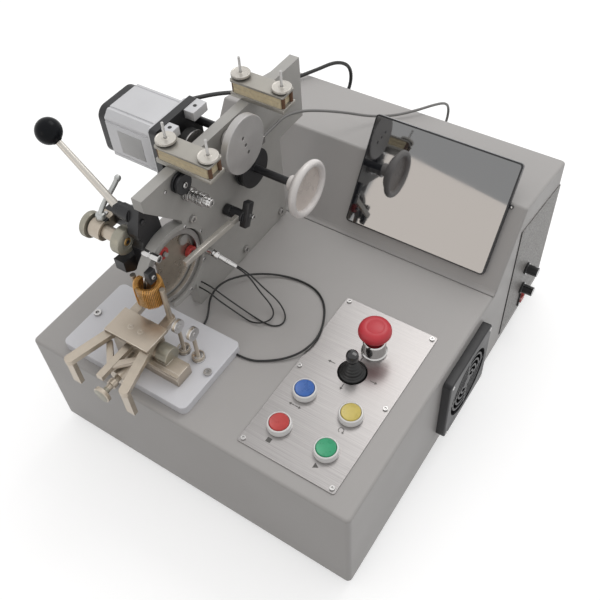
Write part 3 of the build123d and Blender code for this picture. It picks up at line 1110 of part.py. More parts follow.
# ---------------------------------------------------------------- lever group
BLOCK_TOP = RING_Z + BLOCK_ABOVE_RING
BLOCK_FOOT = BLOCK_TOP - BLOCK_HEIGHT
BLOCK_FRONT = RING_Y - BLOCK_REACH
BLOCK_BACK = BLOCK_FRONT + BLOCK_DEPTH
LUG_RIGHT = PLATE_LEFT - LUG_FROM_PLATE
LUG_BACK = (LEVER_SPOT[0] + 3, LEVER_SPOT[0] + 15)
LUG_LEFT = LUG_RIGHT - LUG_LENGTH
BLOCK_RIGHT = PLATE_LEFT
BLOCK_LEFT = BLOCK_RIGHT - BLOCK_THICKNESS
BOSS_LEFT = BLOCK_LEFT - LEVER_BOSS_LENGTH
SPINDLE_BORE = FRONT_SPINDLE_RADIUS + RUN_CLEARANCE
with BuildPart() as lever_block:
    with BuildSketch(Plane.YZ.offset(BLOCK_LEFT)):
        with BuildLine():
            Polyline(
                (BLOCK_FRONT + 12, BLOCK_TOP),
                (BLOCK_BACK - 3, BLOCK_TOP - 20),
                (BLOCK_BACK, BLOCK_TOP - 66),
                (BLOCK_BACK - 22, BLOCK_TOP - 70),
                (BLOCK_FRONT + 12, BLOCK_FOOT),
                (BLOCK_FRONT, BLOCK_FOOT),
                (BLOCK_FRONT, BLOCK_TOP - 32),
                close=True,
            )
        make_face()
    extrude(amount=BLOCK_THICKNESS)
    # the toe beside its foot
    toe_back = BLOCK_FRONT + 6
    toe_foot = BLOCK_FOOT
    with BuildSketch(Plane.YZ.offset(BLOCK_LEFT - TOE_WIDTH)):
        with BuildLine():
            Polyline(
                (toe_back, toe_foot),
                (toe_back, toe_foot + TOE_HEIGHT),
                (toe_back - TOE_LENGTH, toe_foot + TOE_HEIGHT + 4),
                (toe_back - TOE_LENGTH, toe_foot + 8),
                (toe_back - TOE_LENGTH + 12, toe_foot),
                close=True,
            )
        make_face()
    extrude(amount=TOE_WIDTH + 1)
    bar_x(BOSS_LEFT, BLOCK_LEFT + 1, *LEVER_SPOT, LEVER_BOSS_RADIUS)
    # the lug that carries the front spindle
    bar_x(LUG_LEFT, LUG_RIGHT, *FRONT_SPINDLE_SPOT, LUG_RADIUS)
    block(
        (LUG_LEFT, LUG_RIGHT),
        (FRONT_SPINDLE_SPOT[0], LEVER_SPOT[0] + 4),
        (FRONT_SPINDLE_SPOT[1] - 3, FRONT_SPINDLE_SPOT[1] + LUG_RADIUS),
    )
    block(
        (LUG_RIGHT - 2, BLOCK_LEFT + 1),
        LUG_BACK,
        (FRONT_SPINDLE_SPOT[1] - 3, FRONT_SPINDLE_SPOT[1] + LUG_RADIUS),
    )
    block(
        (LUG_LEFT, LUG_RIGHT),
        LUG_BACK,
        (FRONT_SPINDLE_SPOT[1] - 3, FRONT_SPINDLE_SPOT[1] + LUG_RADIUS),
    )
    bar_x(LUG_LEFT - 1, BLOCK_RIGHT + 1, *FRONT_SPINDLE_SPOT, SPINDLE_BORE, Mode.SUBTRACT)
    bar_x(BOSS_LEFT - 1, BLOCK_LEFT + 4, *LEVER_SPOT, PIN_RADIUS + RUN_CLEARANCE, Mode.SUBTRACT)
save(lever_block.part, "lever_block")

KNURL_LEFT = LUG_LEFT - 2.0 - KNURL_WIDTH
END_DISC_RIGHT = BLOCK_LEFT - 0.4
with BuildPart() as front_spindle:
    shaft_end = END_DISC_RIGHT - END_DISC_WIDTH
    bar_x(KNURL_LEFT + KNURL_WIDTH, shaft_end, *FRONT_SPINDLE_SPOT, FRONT_SPINDLE_RADIUS)
    bar_x(KNURL_LEFT, KNURL_LEFT + KNURL_WIDTH, *FRONT_SPINDLE_SPOT, KNURL_RADIUS)
    with BuildSketch(Plane.YZ.offset(END_DISC_RIGHT - END_DISC_WIDTH)):
        with Locations(FRONT_SPINDLE_SPOT):
            Circle(END_DISC_RADIUS)
    extrude(amount=END_DISC_WIDTH)
    fillet(front_spindle.faces().sort_by(Axis.X)[-1].edges(), 2)
    with BuildSketch(Plane.YZ.offset(END_DISC_RIGHT)):
        with Locations(FRONT_SPINDLE_SPOT):
            RegularPolygon(4, 6)
    extrude(amount=-5, mode=Mode.SUBTRACT)
save(front_spindle.part, "front_spindle")

LEVER_HUB_RIGHT = BOSS_LEFT - 0.5
LEVER_HUB_LEFT = LEVER_HUB_RIGHT - LEVER_HUB_LENGTH
LEVER_ROOT = ((LEVER_HUB_LEFT + LEVER_HUB_RIGHT) / 2, *LEVER_SPOT)
BALL_CENTRE = (PLATE_LEFT - BALL_FROM_PLATE, LEVER_SPOT[0], LEVER_SPOT[1] + BALL_ABOVE_LEVER)
LEVER_RUN = Vector(*BALL_CENTRE) - Vector(*LEVER_ROOT)
LEVER_END = Vector(*LEVER_ROOT) + LEVER_RUN * ((LEVER_RUN.length - BALL_RADIUS * 0.4) / LEVER_RUN.length)
with BuildPart() as lever:
    bar_x(LEVER_HUB_LEFT, LEVER_HUB_RIGHT, *LEVER_SPOT, LEVER_HUB_RADIUS)
    bar_x(LEVER_HUB_RIGHT, BLOCK_LEFT + 3, *LEVER_SPOT, PIN_RADIUS)
    rod(LEVER_ROOT, tuple(LEVER_END), LEVER_RADIUS)
save(lever.part, "lever")

with BuildPart() as lever_ball:
    with Locations(BALL_CENTRE):
        Sphere(BALL_RADIUS)
    rod(LEVER_ROOT, tuple(LEVER_END), LEVER_RADIUS, Mode.SUBTRACT)
save(lever_ball.part, "lever_ball")

HANDLE_X = (LUG_LEFT + LUG_RIGHT) / 2
HANDLE_Y = FRONT_SPINDLE_SPOT[0] + 6.0
HANDLE_FOOT = FRONT_SPINDLE_SPOT[1] + LUG_RADIUS + FACE_GAP
with BuildPart() as clamp_handle:
    bar_z(HANDLE_FOOT, HANDLE_FOOT + 6, HANDLE_X, HANDLE_Y, 6)
    with BuildLine() as handle_line:
        FilletPolyline(
            (HANDLE_X, HANDLE_Y, HANDLE_FOOT + 3),
            (HANDLE_X, HANDLE_Y + 5, HANDLE_FOOT + 14),
            (HANDLE_X, HANDLE_Y + 23, HANDLE_FOOT + 19),
            (HANDLE_X, HANDLE_Y + 38, HANDLE_FOOT + 30),
            radius=8,
        )
    with BuildSketch(Plane(origin=handle_line.line @ 0, z_dir=handle_line.line % 0)):
        Circle(HANDLE_RADIUS)
    sweep(path=handle_line.line)
    with Locations(handle_line.line @ 1):
        Sphere(HANDLE_RADIUS + 1.2)
save(clamp_handle.part, "clamp_handle")

# ---------------------------------------------------------------- chuck
with BuildPart() as chuck_plate:
    with BuildSketch(Plane.XY.offset(TOP)):
        with Locations((CHUCK_PLATE_X, CHUCK_PLATE_Y)):
            RectangleRounded(CHUCK_PLATE_WIDTH, CHUCK_PLATE_DEPTH, CHUCK_PLATE_CORNER)
    extrude(amount=CHUCK_PLATE_THICKNESS)
    fillet(chuck_plate.faces().sort_by(Axis.Z)[-1].edges(), 1.0)
save(chuck_plate.part, "chuck_plate")

PIVOTS = {-1: CHUCK_X - JAW_PIVOT_SPREAD / 2, 1: CHUCK_X + JAW_PIVOT_SPREAD / 2}
LIP_Z = JAW_TOP + FACE_GAP
with BuildPart() as chuck_body:
    half_block = CHUCK_BLOCK_WIDTH / 2
    block(
        (CHUCK_X - half_block, CHUCK_X + half_block),
        (CHUCK_Y - CHUCK_BLOCK_DEPTH / 2, CHUCK_Y + CHUCK_BLOCK_DEPTH / 2),
        (CHUCK_PLATE_TOP, JAW_Z - FACE_GAP),
    )
    block(
        (CHUCK_X - CHUCK_LIP_WIDTH / 2, CHUCK_X + CHUCK_LIP_WIDTH / 2),
        (CHUCK_Y - CHUCK_LIP_DEPTH / 2, CHUCK_Y + CHUCK_LIP_DEPTH / 2),
        (LIP_Z, LIP_Z + CHUCK_LIP),
    )
    bar_z(JAW_Z - 2, LIP_Z + 1, CHUCK_X, CHUCK_Y, BARREL_RADIUS)
    for pivot_x in PIVOTS.values():
        bar_z(JAW_Z - 2, LIP_Z + 1, pivot_x, CHUCK_Y, JAW_PIN_RADIUS)
    bar_y(BARREL_FRONT, BARREL_BACK, BARREL_X, BARREL_Z, BARREL_RADIUS)
    screw_bore = KNOB_SCREW_RADIUS + RUN_CLEARANCE
    bar_y(BARREL_FRONT - 1, BARREL_BACK + 8, BARREL_X, BARREL_Z, screw_bore, Mode.SUBTRACT)
    # the fixed bar between the jaws
    block(
        (CHUCK_X - BAR_WIDTH / 2, CHUCK_X + BAR_WIDTH / 2),
        (BARREL_BACK - BAR_LENGTH, BARREL_BACK),
        (JAW_Z - FACE_GAP - BAR_THICKNESS, JAW_Z - FACE_GAP),
    )
    # the side block and its round cap
    block(
        (CHUCK_X + half_block, CHUCK_X + half_block + SIDE_BLOCK_WIDTH),
        (CHUCK_Y - CHUCK_BLOCK_DEPTH / 2, CHUCK_Y - CHUCK_BLOCK_DEPTH / 2 + SIDE_BLOCK_DEPTH),
        (CHUCK_PLATE_TOP, CHUCK_PLATE_TOP + SIDE_BLOCK_HEIGHT),
    )
    roller_right = CHUCK_X + half_block + SIDE_ROLLER_WIDTH
    roller_z = CHUCK_PLATE_TOP + SIDE_BLOCK_HEIGHT + 4
    bar_x(CHUCK_X + half_block, roller_right, CHUCK_Y + 4, roller_z, SIDE_ROLLER_RADIUS)
    # the two guide posts, each with a small disc
    post_y = CHUCK_Y + POST_BEHIND_CHUCK
    post_step = CHUCK_PLATE_TOP + POST_FOOT_HEIGHT
    post_top = CHUCK_PLATE_TOP + POST_HEIGHT
    for shift in POST_SHIFTS:
        post_x = PLATE_X + shift
        bar_z(CHUCK_PLATE_TOP, post_step, post_x, post_y, POST_FOOT_RADIUS)
        bar_z(post_step, post_top, post_x, post_y, POST_RADIUS)
        half_disc = POST_DISC_WIDTH / 2
        bar_x(post_x - half_disc, post_x + half_disc, post_y, post_top, POST_DISC_RADIUS)
save(chuck_body.part, "chuck_body")


def jaw(side):
    """One jaw, in the part that is being built: arm, finger behind and leg in front."""
    pivot = (PIVOTS[side], CHUCK_Y)
    tip = (PLATE_X + side * FINGER_SPREAD / 2, CORE_Y)
    nose = (CHUCK_X + side * JAW_FRONT_SPREAD / 2, CHUCK_Y - JAW_REACH)
    for start, end in ((tip, pivot), (pivot, nose)):
        run = Vector(end[0] - start[0], end[1] - start[1])
        turn = math.degrees(math.atan2(run.Y, run.X))
        middle = ((start[0] + end[0]) / 2, (start[1] + end[1]) / 2)
        with BuildSketch(Plane.XY.offset(JAW_Z)) as outline:
            with Locations(Location((*middle, 0), (0, 0, turn))):
                SlotCenterToCenter(run.length, JAW_WIDTH)
        extrude(outline.sketch, amount=JAW_THICKNESS)
    bar_z(JAW_Z, TOP + FINGER_TOP, *tip, FINGER_RADIUS)
    block(
        (nose[0] - JAW_WIDTH / 2, nose[0] + JAW_WIDTH / 2),
        (nose[1] - 3, nose[1] + 3),
        (JAW_Z - JAW_LEG_LENGTH, JAW_Z),
    )
    bar_z(JAW_Z - 1, JAW_TOP + 1, *pivot, JAW_PIN_RADIUS + RUN_CLEARANCE, Mode.SUBTRACT)


with BuildPart() as jaw_left:
    jaw(-1)
save(jaw_left.part, "jaw_left")

with BuildPart() as jaw_right:
    jaw(1)
save(jaw_right.part, "jaw_right")

with BuildPart() as chuck_knob:
    bar_y(BARREL_FRONT - KNOB_REACH, BARREL_BACK + 7, BARREL_X, BARREL_Z, KNOB_SCREW_RADIUS)
    bar_y(
        BARREL_FRONT - KNOB_REACH - KNOB_THICKNESS,
        BARREL_FRONT - KNOB_REACH,
        BARREL_X,
        BARREL_Z,
        KNOB_RADIUS,
    )
    fillet(chuck_knob.faces().sort_by(Axis.Y)[0].edges(), 1.2)
    bar_y(BARREL_FRONT - 12, BARREL_FRONT - 5, BARREL_X, BARREL_Z, KNOB_SCREW_RADIUS + 2)
save(chuck_knob.part, "chuck_knob")

# ---------------------------------------------------------------- ring core and winding
WINDING_IN = CORE_INNER_RADIUS - WINDING_GAP - WIRE_RADIUS
WINDING_OUT = CORE_OUTER_RADIUS + WINDING_GAP + WIRE_RADIUS
WINDING_BEND = (WINDING_OUT - WINDING_IN) / 2
WINDING_RUN = CORE_HEIGHT + 2 * (WINDING_GAP + WIRE_RADIUS) - 2 * WINDING_BEND


def winding_place(turns):
    """A point of the winding's middle line, after that many turns round the core's section."""
    quarter = (turns - math.floor(turns)) * 4
    slide = quarter - math.floor(quarter)
    middle = (WINDING_OUT + WINDING_IN) / 2
    if quarter < 1:
        rho, height = WINDING_OUT, WINDING_RUN * (slide - 0.5)
    elif quarter < 2:
        rho = middle + WINDING_BEND * math.cos(math.pi * slide)
        height = WINDING_RUN / 2 + WINDING_BEND * math.sin(math.pi * slide)
    elif quarter < 3:
        rho, height = WINDING_IN, WINDING_RUN * (0.5 - slide)
    else:
        rho = middle - WINDING_BEND * math.cos(math.pi * slide)
        height = -WINDING_RUN / 2 - WINDING_BEND * math.sin(math.pi * slide)
    angle = math.radians(WINDING_FIRST + WINDING_ARC * turns / WINDING_TURNS)
    return Vector(PLATE_X + rho * math.cos(angle), CORE_Y + rho * math.sin(angle), CORE_Z + height)


def winding_way(turns):
    """The direction of the winding's middle line there."""
    nudge = 1e-4
    return (winding_place(turns + nudge) - winding_place(turns - nudge)).normalized()


def biarc(start, start_way, end, end_way):
    """Two arcs that join smoothly and run from one point and direction to another."""
    chord = end - start
    square = 2 * (start_way.dot(end_way) - 1)
    linear = -2 * chord.dot(start_way + end_way)
    constant = chord.dot(chord)
    if abs(square) < 1e-9:
        reach = -constant / linear
    else:
        reach = (-linear - math.sqrt(linear**2 - 4 * square * constant)) / (2 * square)
    first = start + start_way * reach
    last = end - end_way * reach
    joint = (first + last) * 0.5
    return [
        Edge.make_tangent_arc(start, start_way, joint),
        Edge.make_tangent_arc(joint, (last - first).normalized(), end),
    ]


stations = [turn + part for turn in range(WINDING_TURNS) for part in (0.05, 0.2, 0.375, 0.55, 0.7, 0.875)]
winding_edges = []
for here, there in zip(stations, stations[1:]):
    winding_edges += biarc(
        winding_place(here), winding_way(here), winding_place(there), winding_way(there)
    )
lead_in = winding_place(stations[0]) - winding_way(stations[0]) * 2 * WIRE_RADIUS
lead_out = winding_place(stations[-1]) + winding_way(stations[-1]) * 2 * WIRE_RADIUS
winding_edges.insert(0, Edge.make_line(lead_in, winding_place(stations[0])))
winding_edges.append(Edge.make_line(winding_place(stations[-1]), lead_out))
winding_line = Wire(winding_edges)
spots = [winding_place(k / 40) for k in range(40 * WINDING_TURNS)]
nearest = min(
    (spots[i] - spots[j]).length for i in range(0, len(spots), 2) for j in range(i + 20, len(spots))
)
print(f"winding: length {winding_line.length:.0f}, least gap to itself {nearest - 2 * WIRE_RADIUS:.2f}")

with BuildPart() as ring_core:
    with BuildSketch(Plane.XY.offset(CORE_Z - CORE_HEIGHT / 2)):
        with Locations((PLATE_X, CORE_Y)):
            Circle(CORE_OUTER_RADIUS)
            Circle(CORE_INNER_RADIUS, mode=Mode.SUBTRACT)
    extrude(amount=CORE_HEIGHT)
    fillet(ring_core.edges().filter_by(GeomType.CIRCLE), (CORE_OUTER_RADIUS - CORE_INNER_RADIUS) / 2 - 0.05)
save(ring_core.part, "ring_core")

with BuildPart() as core_winding:
    with BuildSketch(Plane(origin=lead_in, z_dir=winding_way(stations[0]))) as wire_section:
        Circle(WIRE_RADIUS)
    sweep(wire_section.sketch, path=winding_line)
save(core_winding.part, "core_winding")

# ---------------------------------------------------------------- cords and sensors
SENSOR_ROOT = (PLATE_RIGHT + SENSOR_STANDOFF, RING_Y + SENSOR_BEHIND_RING, TOP + SENSOR_RISE)
SENSOR_TIP = (SENSOR_ROOT[0] + 28.4, SENSOR_ROOT[1] + 9.0, SENSOR_ROOT[2] - 19.0)
SENSOR_WAY = (Vector(*SENSOR_TIP) - Vector(*SENSOR_ROOT)).normalized()
SENSOR_SIDE = SENSOR_WAY.cross(Vector(0, 0, 1)).normalized()
FIBRE_SPREAD = FIBRE_RADIUS + 0.25
CABLE_ROOT = (PLATE_RIGHT + SENSOR_STANDOFF, PLATE_FOOT_BACK - 45.0, PLATE_TOP - 53.4)
with BuildPart() as sensor_head:
    bar_x(PLATE_RIGHT, SENSOR_ROOT[0] + 2, SENSOR_ROOT[1], SENSOR_ROOT[2], SENSOR_HOLDER_RADIUS)
    rod(SENSOR_ROOT, SENSOR_TIP, SENSOR_RADIUS)
    block(
        (PLATE_RIGHT, CABLE_ROOT[0] + CLIP_HEIGHT / 2),
        (CABLE_ROOT[1] - CLIP_DEPTH, CABLE_ROOT[1]),
        (CABLE_ROOT[2] - CLIP_HEIGHT / 2, CABLE_ROOT[2] + CLIP_HEIGHT / 2),
    )
save(sensor_head.part, "sensor_head")

with BuildPart() as cable_glands:
    for gland_x, gland_z in (
        (MOTOR_GLAND_X, CONSOLE_GLAND_Z),
        (SENSOR_GLAND_X, CONSOLE_GLAND_Z),
        (MAINS_GLAND_X, MAINS_GLAND_Z),
    ):
        bar_y(BACK - 2 * SHEET, BACK, gland_x, gland_z, GLAND_RADIUS - SHEET)
        bar_y(BACK, BACK + GLAND_NUT, gland_x, gland_z, GLAND_RADIUS)
        bar_y(BACK + GLAND_NUT, BACK + GLAND_LENGTH, gland_x, gland_z, GLAND_RADIUS - SHEET)
save(cable_glands.part, "cable_glands")


def cord_path(name, points):
    """The line of a cord: straight runs joined by arcs as large as the runs allow."""
    points = [Vector(*p) for p in points]
    radii = []
    for before, here, after in zip(points, points[1:], points[2:]):
        run_in = here - before
        run_out = after - here
        turn = math.radians(run_in.get_angle(run_out))
        radii.append(0.45 * min(run_in.length, run_out.length) / math.tan(turn / 2))
    line = FilletPolyline(*points, radius=radii)
    runs = [(b - a).length for a, b in zip(points, points[1:])]
    print(f"{name}: length {line.length:.0f}, runs {min(runs):.0f} to {max(runs):.0f}")
    print(f"{name}: radii", *[f"{radius:.0f}" for radius in radii])
    return line


def cord(name, points, radius):
    """A cord's tube, in the part that is being built."""
    with BuildLine() as route:
        cord_path(name, points)
    with BuildSketch(Plane(origin=route.line @ 0, z_dir=route.line % 0)) as section:
        Circle(radius)
    sweep(section.sketch, path=route.line)


def spot(right, back, up):
    """A point given from the foot of the plate's right face, level with the ring's axis."""
    return (PLATE_RIGHT + right, RING_Y + back, TOP + up)


LOOP_Z = LOOP_RADIUS + 0.3
LOOP_START = (CHUCK_PLATE_RIGHT, CHUCK_PLATE_BACK - 11.0, TOP + LOOP_Z)
LOOP_END = (PLATE_RIGHT + 24.6, CHUCK_PLATE_BACK, TOP + LOOP_Z)
LOOP_POINTS = [
    LOOP_START,
    (LOOP_START[0] + 18.0, *LOOP_START[1:]),
    spot(124.6, -7.0, LOOP_Z),
    spot(142.6, 6.5, LOOP_Z + 1.5),
    spot(156.1, 24.5, LOOP_Z + 3.6),
    spot(161.1, 50.0, LOOP_Z + 3.6),
    spot(153.6, 78.0, LOOP_Z + 1.5),
    spot(137.1, 106.0, LOOP_Z),
    spot(114.6, 120.5, LOOP_Z),
    spot(87.6, 122.5, LOOP_Z),
    spot(59.6, 116.0, LOOP_Z + 1),
    spot(34.6, 100.5, LOOP_Z + 4),
    spot(17.6, 80.0, LOOP_Z + 8),
    spot(8.1, 56.5, LOOP_Z + 12),
    spot(10.1, 32.0, LOOP_Z + 11),
    spot(20.1, 14.5, LOOP_Z + 5),
    (LOOP_END[0], LOOP_END[1] + 9.5, LOOP_END[2] + 1),
    LOOP_END,
]
with BuildPart() as loop_cord:
    cord("loop_cord", LOOP_POINTS, LOOP_RADIUS)
save(loop_cord.part, "loop_cord")

FIBRE_Z = FIBRE_RADIUS + 0.3


def fibre_start(side):
    """The first two points of a fibre, straight out of the ferrule's end."""
    foot = Vector(*SENSOR_TIP) + SENSOR_SIDE * (side * FIBRE_SPREAD)
    return [tuple(foot), tuple(foot + SENSOR_WAY * 16.0)]


FIBRE_ROUTES = (
    [
        *fibre_start(-1),
        spot(68.6, 71.5, 25.0),
        spot(86.6, 72.5, 13.0),
        spot(99.6, 68.0, 6.0),
        spot(108.6, 59.5, FIBRE_Z + 1),
        spot(109.3, 48.5, FIBRE_Z),
        spot(100.6, 41.0, FIBRE_Z),
        spot(85.6, 40.0, FIBRE_Z),
        spot(67.6, 41.5, FIBRE_Z + 1),
        spot(46.6, 41.0, 9.0),
        spot(29.6, 37.0, 22.0),
        spot(14.0, 33.0, 36.0),
        spot(0, 33.0, 36.0),
    ],
    [
        *fibre_start(1),
        spot(66.6, 65.5, 22.0),
        spot(82.6, 63.5, 11.0),
        spot(93.2, 56.5, FIBRE_Z + 5),
        spot(95.0, 45.0, FIBRE_Z + 4.6),
        spot(87.1, 35.4, FIBRE_Z + 3.4),
        spot(73.6, 32.5, FIBRE_Z),
        spot(58.6, 33.0, FIBRE_Z + 2),
        spot(42.6, 32.5, 9.0),
        spot(27.6, 30.0, 18.0),
        spot(14.0, 27.5, 31.0),
        spot(0, 27.5, 31.0),
    ],
)
with BuildPart() as sensor_fibres:
    for number, route in enumerate(FIBRE_ROUTES):
        cord(f"sensor_fibre_{number}", route, FIBRE_RADIUS)
save(sensor_fibres.part, "sensor_fibres")


def over(right, back, up):
    """A point given from the top of the head plate's right face, at the console's foot."""
    return (PLATE_RIGHT + right, CONSOLE_FRONT + back, PLATE_TOP - PLATE_HEIGHT + up)


def behind(gland_x, right, back, up):
    """A point behind the console, given from where a gland's screw cap ends."""
    return (gland_x + right, BACK + GLAND_LENGTH + back, CONSOLE_GLAND_Z + up)


SENSOR_CABLE_POINTS = [
    CABLE_ROOT,
    (CABLE_ROOT[0], CABLE_ROOT[1] + 22.0, CABLE_ROOT[2]),
    over(11.6, -7.0, 172.0),
    over(17.6, 23.0, 162.0),
    over(26.6, 57.0, 143.0),
    over(39.6, 93.0, 121.0),
    over(56.6, 129.0, 97.0),
    over(76.6, 163.0, 83.0),
    over(96.6, 195.0, 79.0),
    behind(SENSOR_GLAND_X, -7.0, -2.0, 64.0),
    behind(SENSOR_GLAND_X, 0, 22.0, 55.0),
    behind(SENSOR_GLAND_X, 0, 38.0, 37.0),
    behind(SENSOR_GLAND_X, 0, 37.0, 16.0),
    behind(SENSOR_GLAND_X, 0, 21.0, 1.0),
    behind(SENSOR_GLAND_X, 0, 0, 0),
]
with BuildPart() as sensor_cable:
    cord("sensor_cable", SENSOR_CABLE_POINTS, SENSOR_CABLE_RADIUS)
save(sensor_cable.part, "sensor_cable")

MOTOR_CABLE_X = MOTOR_END + 14.0
MOTOR_SIDE_Y = MOTOR_Y + MOTOR_SIZE / 2
MOTOR_CABLE_POINTS = [
    (MOTOR_CABLE_X, MOTOR_SIDE_Y, PLATE_TOP - 30.0),
    (MOTOR_CABLE_X, MOTOR_SIDE_Y + 34.0, PLATE_TOP - 30.0),
    over(-104.4, -35.0, 176.0),
    over(-104.4, 7.0, 156.0),
    over(-105.4, 51.0, 130.0),
    over(-106.4, 95.0, 105.0),
    over(-105.4, 139.0, 88.0),
    over(-98.4, 177.0, 80.0),
    behind(MOTOR_GLAND_X, -27.0, -10.0, 65.0),
    behind(MOTOR_GLAND_X, -12.0, 21.0, 66.0),
    behind(MOTOR_GLAND_X, -2.5, 45.5, 48.0),
    behind(MOTOR_GLAND_X, 0, 47.0, 19.5),
    behind(MOTOR_GLAND_X, 0, 27.0, -0.5),
    behind(MOTOR_GLAND_X, 0, 0, 0),
]
with BuildPart() as motor_cable:
    cord("motor_cable", MOTOR_CABLE_POINTS, MOTOR_CABLE_RADIUS)
save(motor_cable.part, "motor_cable")
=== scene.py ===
import bmesh
import bpy
import math
from mathutils import Matrix, Vector


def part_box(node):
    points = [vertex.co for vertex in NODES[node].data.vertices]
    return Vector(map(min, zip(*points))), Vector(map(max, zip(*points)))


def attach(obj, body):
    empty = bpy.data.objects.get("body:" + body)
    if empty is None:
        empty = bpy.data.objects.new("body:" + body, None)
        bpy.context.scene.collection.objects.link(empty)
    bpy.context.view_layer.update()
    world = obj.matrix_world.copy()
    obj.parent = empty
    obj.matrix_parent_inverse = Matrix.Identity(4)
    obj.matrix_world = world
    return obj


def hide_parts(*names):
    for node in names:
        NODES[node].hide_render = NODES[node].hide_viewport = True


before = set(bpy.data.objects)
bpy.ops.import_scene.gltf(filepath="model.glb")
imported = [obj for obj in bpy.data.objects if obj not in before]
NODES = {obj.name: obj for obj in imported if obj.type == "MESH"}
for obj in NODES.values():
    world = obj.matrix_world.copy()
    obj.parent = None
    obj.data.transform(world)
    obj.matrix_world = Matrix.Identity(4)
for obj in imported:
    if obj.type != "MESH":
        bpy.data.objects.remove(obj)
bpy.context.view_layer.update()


# Places of the part, in millimetres: x to the right, y to the back, z up from the table.
# TOP is the cabinet's top face. A pair is (x, y) on the control plate and (y, z) on the head.
LEFT, RIGHT, TOP = -233.0, 233.0, 180.0
CONSOLE_FRONT, SLOPE = 77.0, math.radians(56.534)
PLATE_LEFT, PLATE_RIGHT, PLATE_TOP = -96.6, -82.6, 400.0
RING_Y, RING_Z = -152.0, TOP + 93.0
PANEL_TOP = TOP + 1.5
BUTTONS = {"red": (106.0, -225.0), "green": (168.6, -225.0),
           "blue": (106.0, -172.0), "yellow": (168.6, -172.0)}
STOP = (146.0, -79.0)
STICK = (139.0, -119.0)
WHEEL = (-6.0, TOP + 145.0)
MOTOR = (-64.5, TOP + 205.5)
FRONT_SPINDLE = (RING_Y - 35.0, RING_Z + 60.5)
LEVER = (RING_Y - 20.0, RING_Z + 91.0)
ARM = (RING_Y + 99.0, RING_Z + 15.0)
SCREEN_X, SCREEN_UP = 110, 93  # the screen's middle, on the console's leaning front
MM = 0.001
WHITE = (1, 1, 1, 1)


# ------------------------------------------------------------------ materials
def node(tree, kind, **inputs):
    made = tree.nodes.new(kind)
    for name, value in inputs.items():
        if hasattr(made, name):
            setattr(made, name, value)
        else:
            made.inputs[name.replace("_", " ")].default_value = value
    return made


def span(tree, value, low, high, out_low=0.0, out_high=1.0):
    """Maps a value from one range to another."""
    made = node(tree, "ShaderNodeMapRange", From_Min=low, From_Max=high, To_Min=out_low,
                To_Max=out_high)
    tree.links.new(value, made.inputs["Value"])
    return made.outputs["Result"]


def noise(tree, vector, scale, detail, roughness=0.5):
    made = node(tree, "ShaderNodeTexNoise", Scale=scale, Detail=detail, Roughness=roughness)
    tree.links.new(vector, made.inputs["Vector"])
    return made.outputs["Fac"]


def scaled(tree, colour, amount):
    made = node(tree, "ShaderNodeVectorMath", operation="SCALE")
    tree.links.new(colour, made.inputs[0])
    tree.links.new(amount, made.inputs["Scale"])
    return made.outputs["Vector"]


def math_node(tree, operation, first, second):
    made = node(tree, "ShaderNodeMath", operation=operation)
    tree.links.new(first, made.inputs[0])
    tree.links.new(second, made.inputs[1])
    return made.outputs["Value"]


def background_ray(tree):
    """1 for the rays that show the white background: camera, glossy and transmission rays."""
    rays = node(tree, "ShaderNodeLightPath").outputs
    seen = math_node(tree, "MAXIMUM", rays["Is Camera Ray"], rays["Is Glossy Ray"])
    return math_node(tree, "MAXIMUM", seen, rays["Is Transmission Ray"])


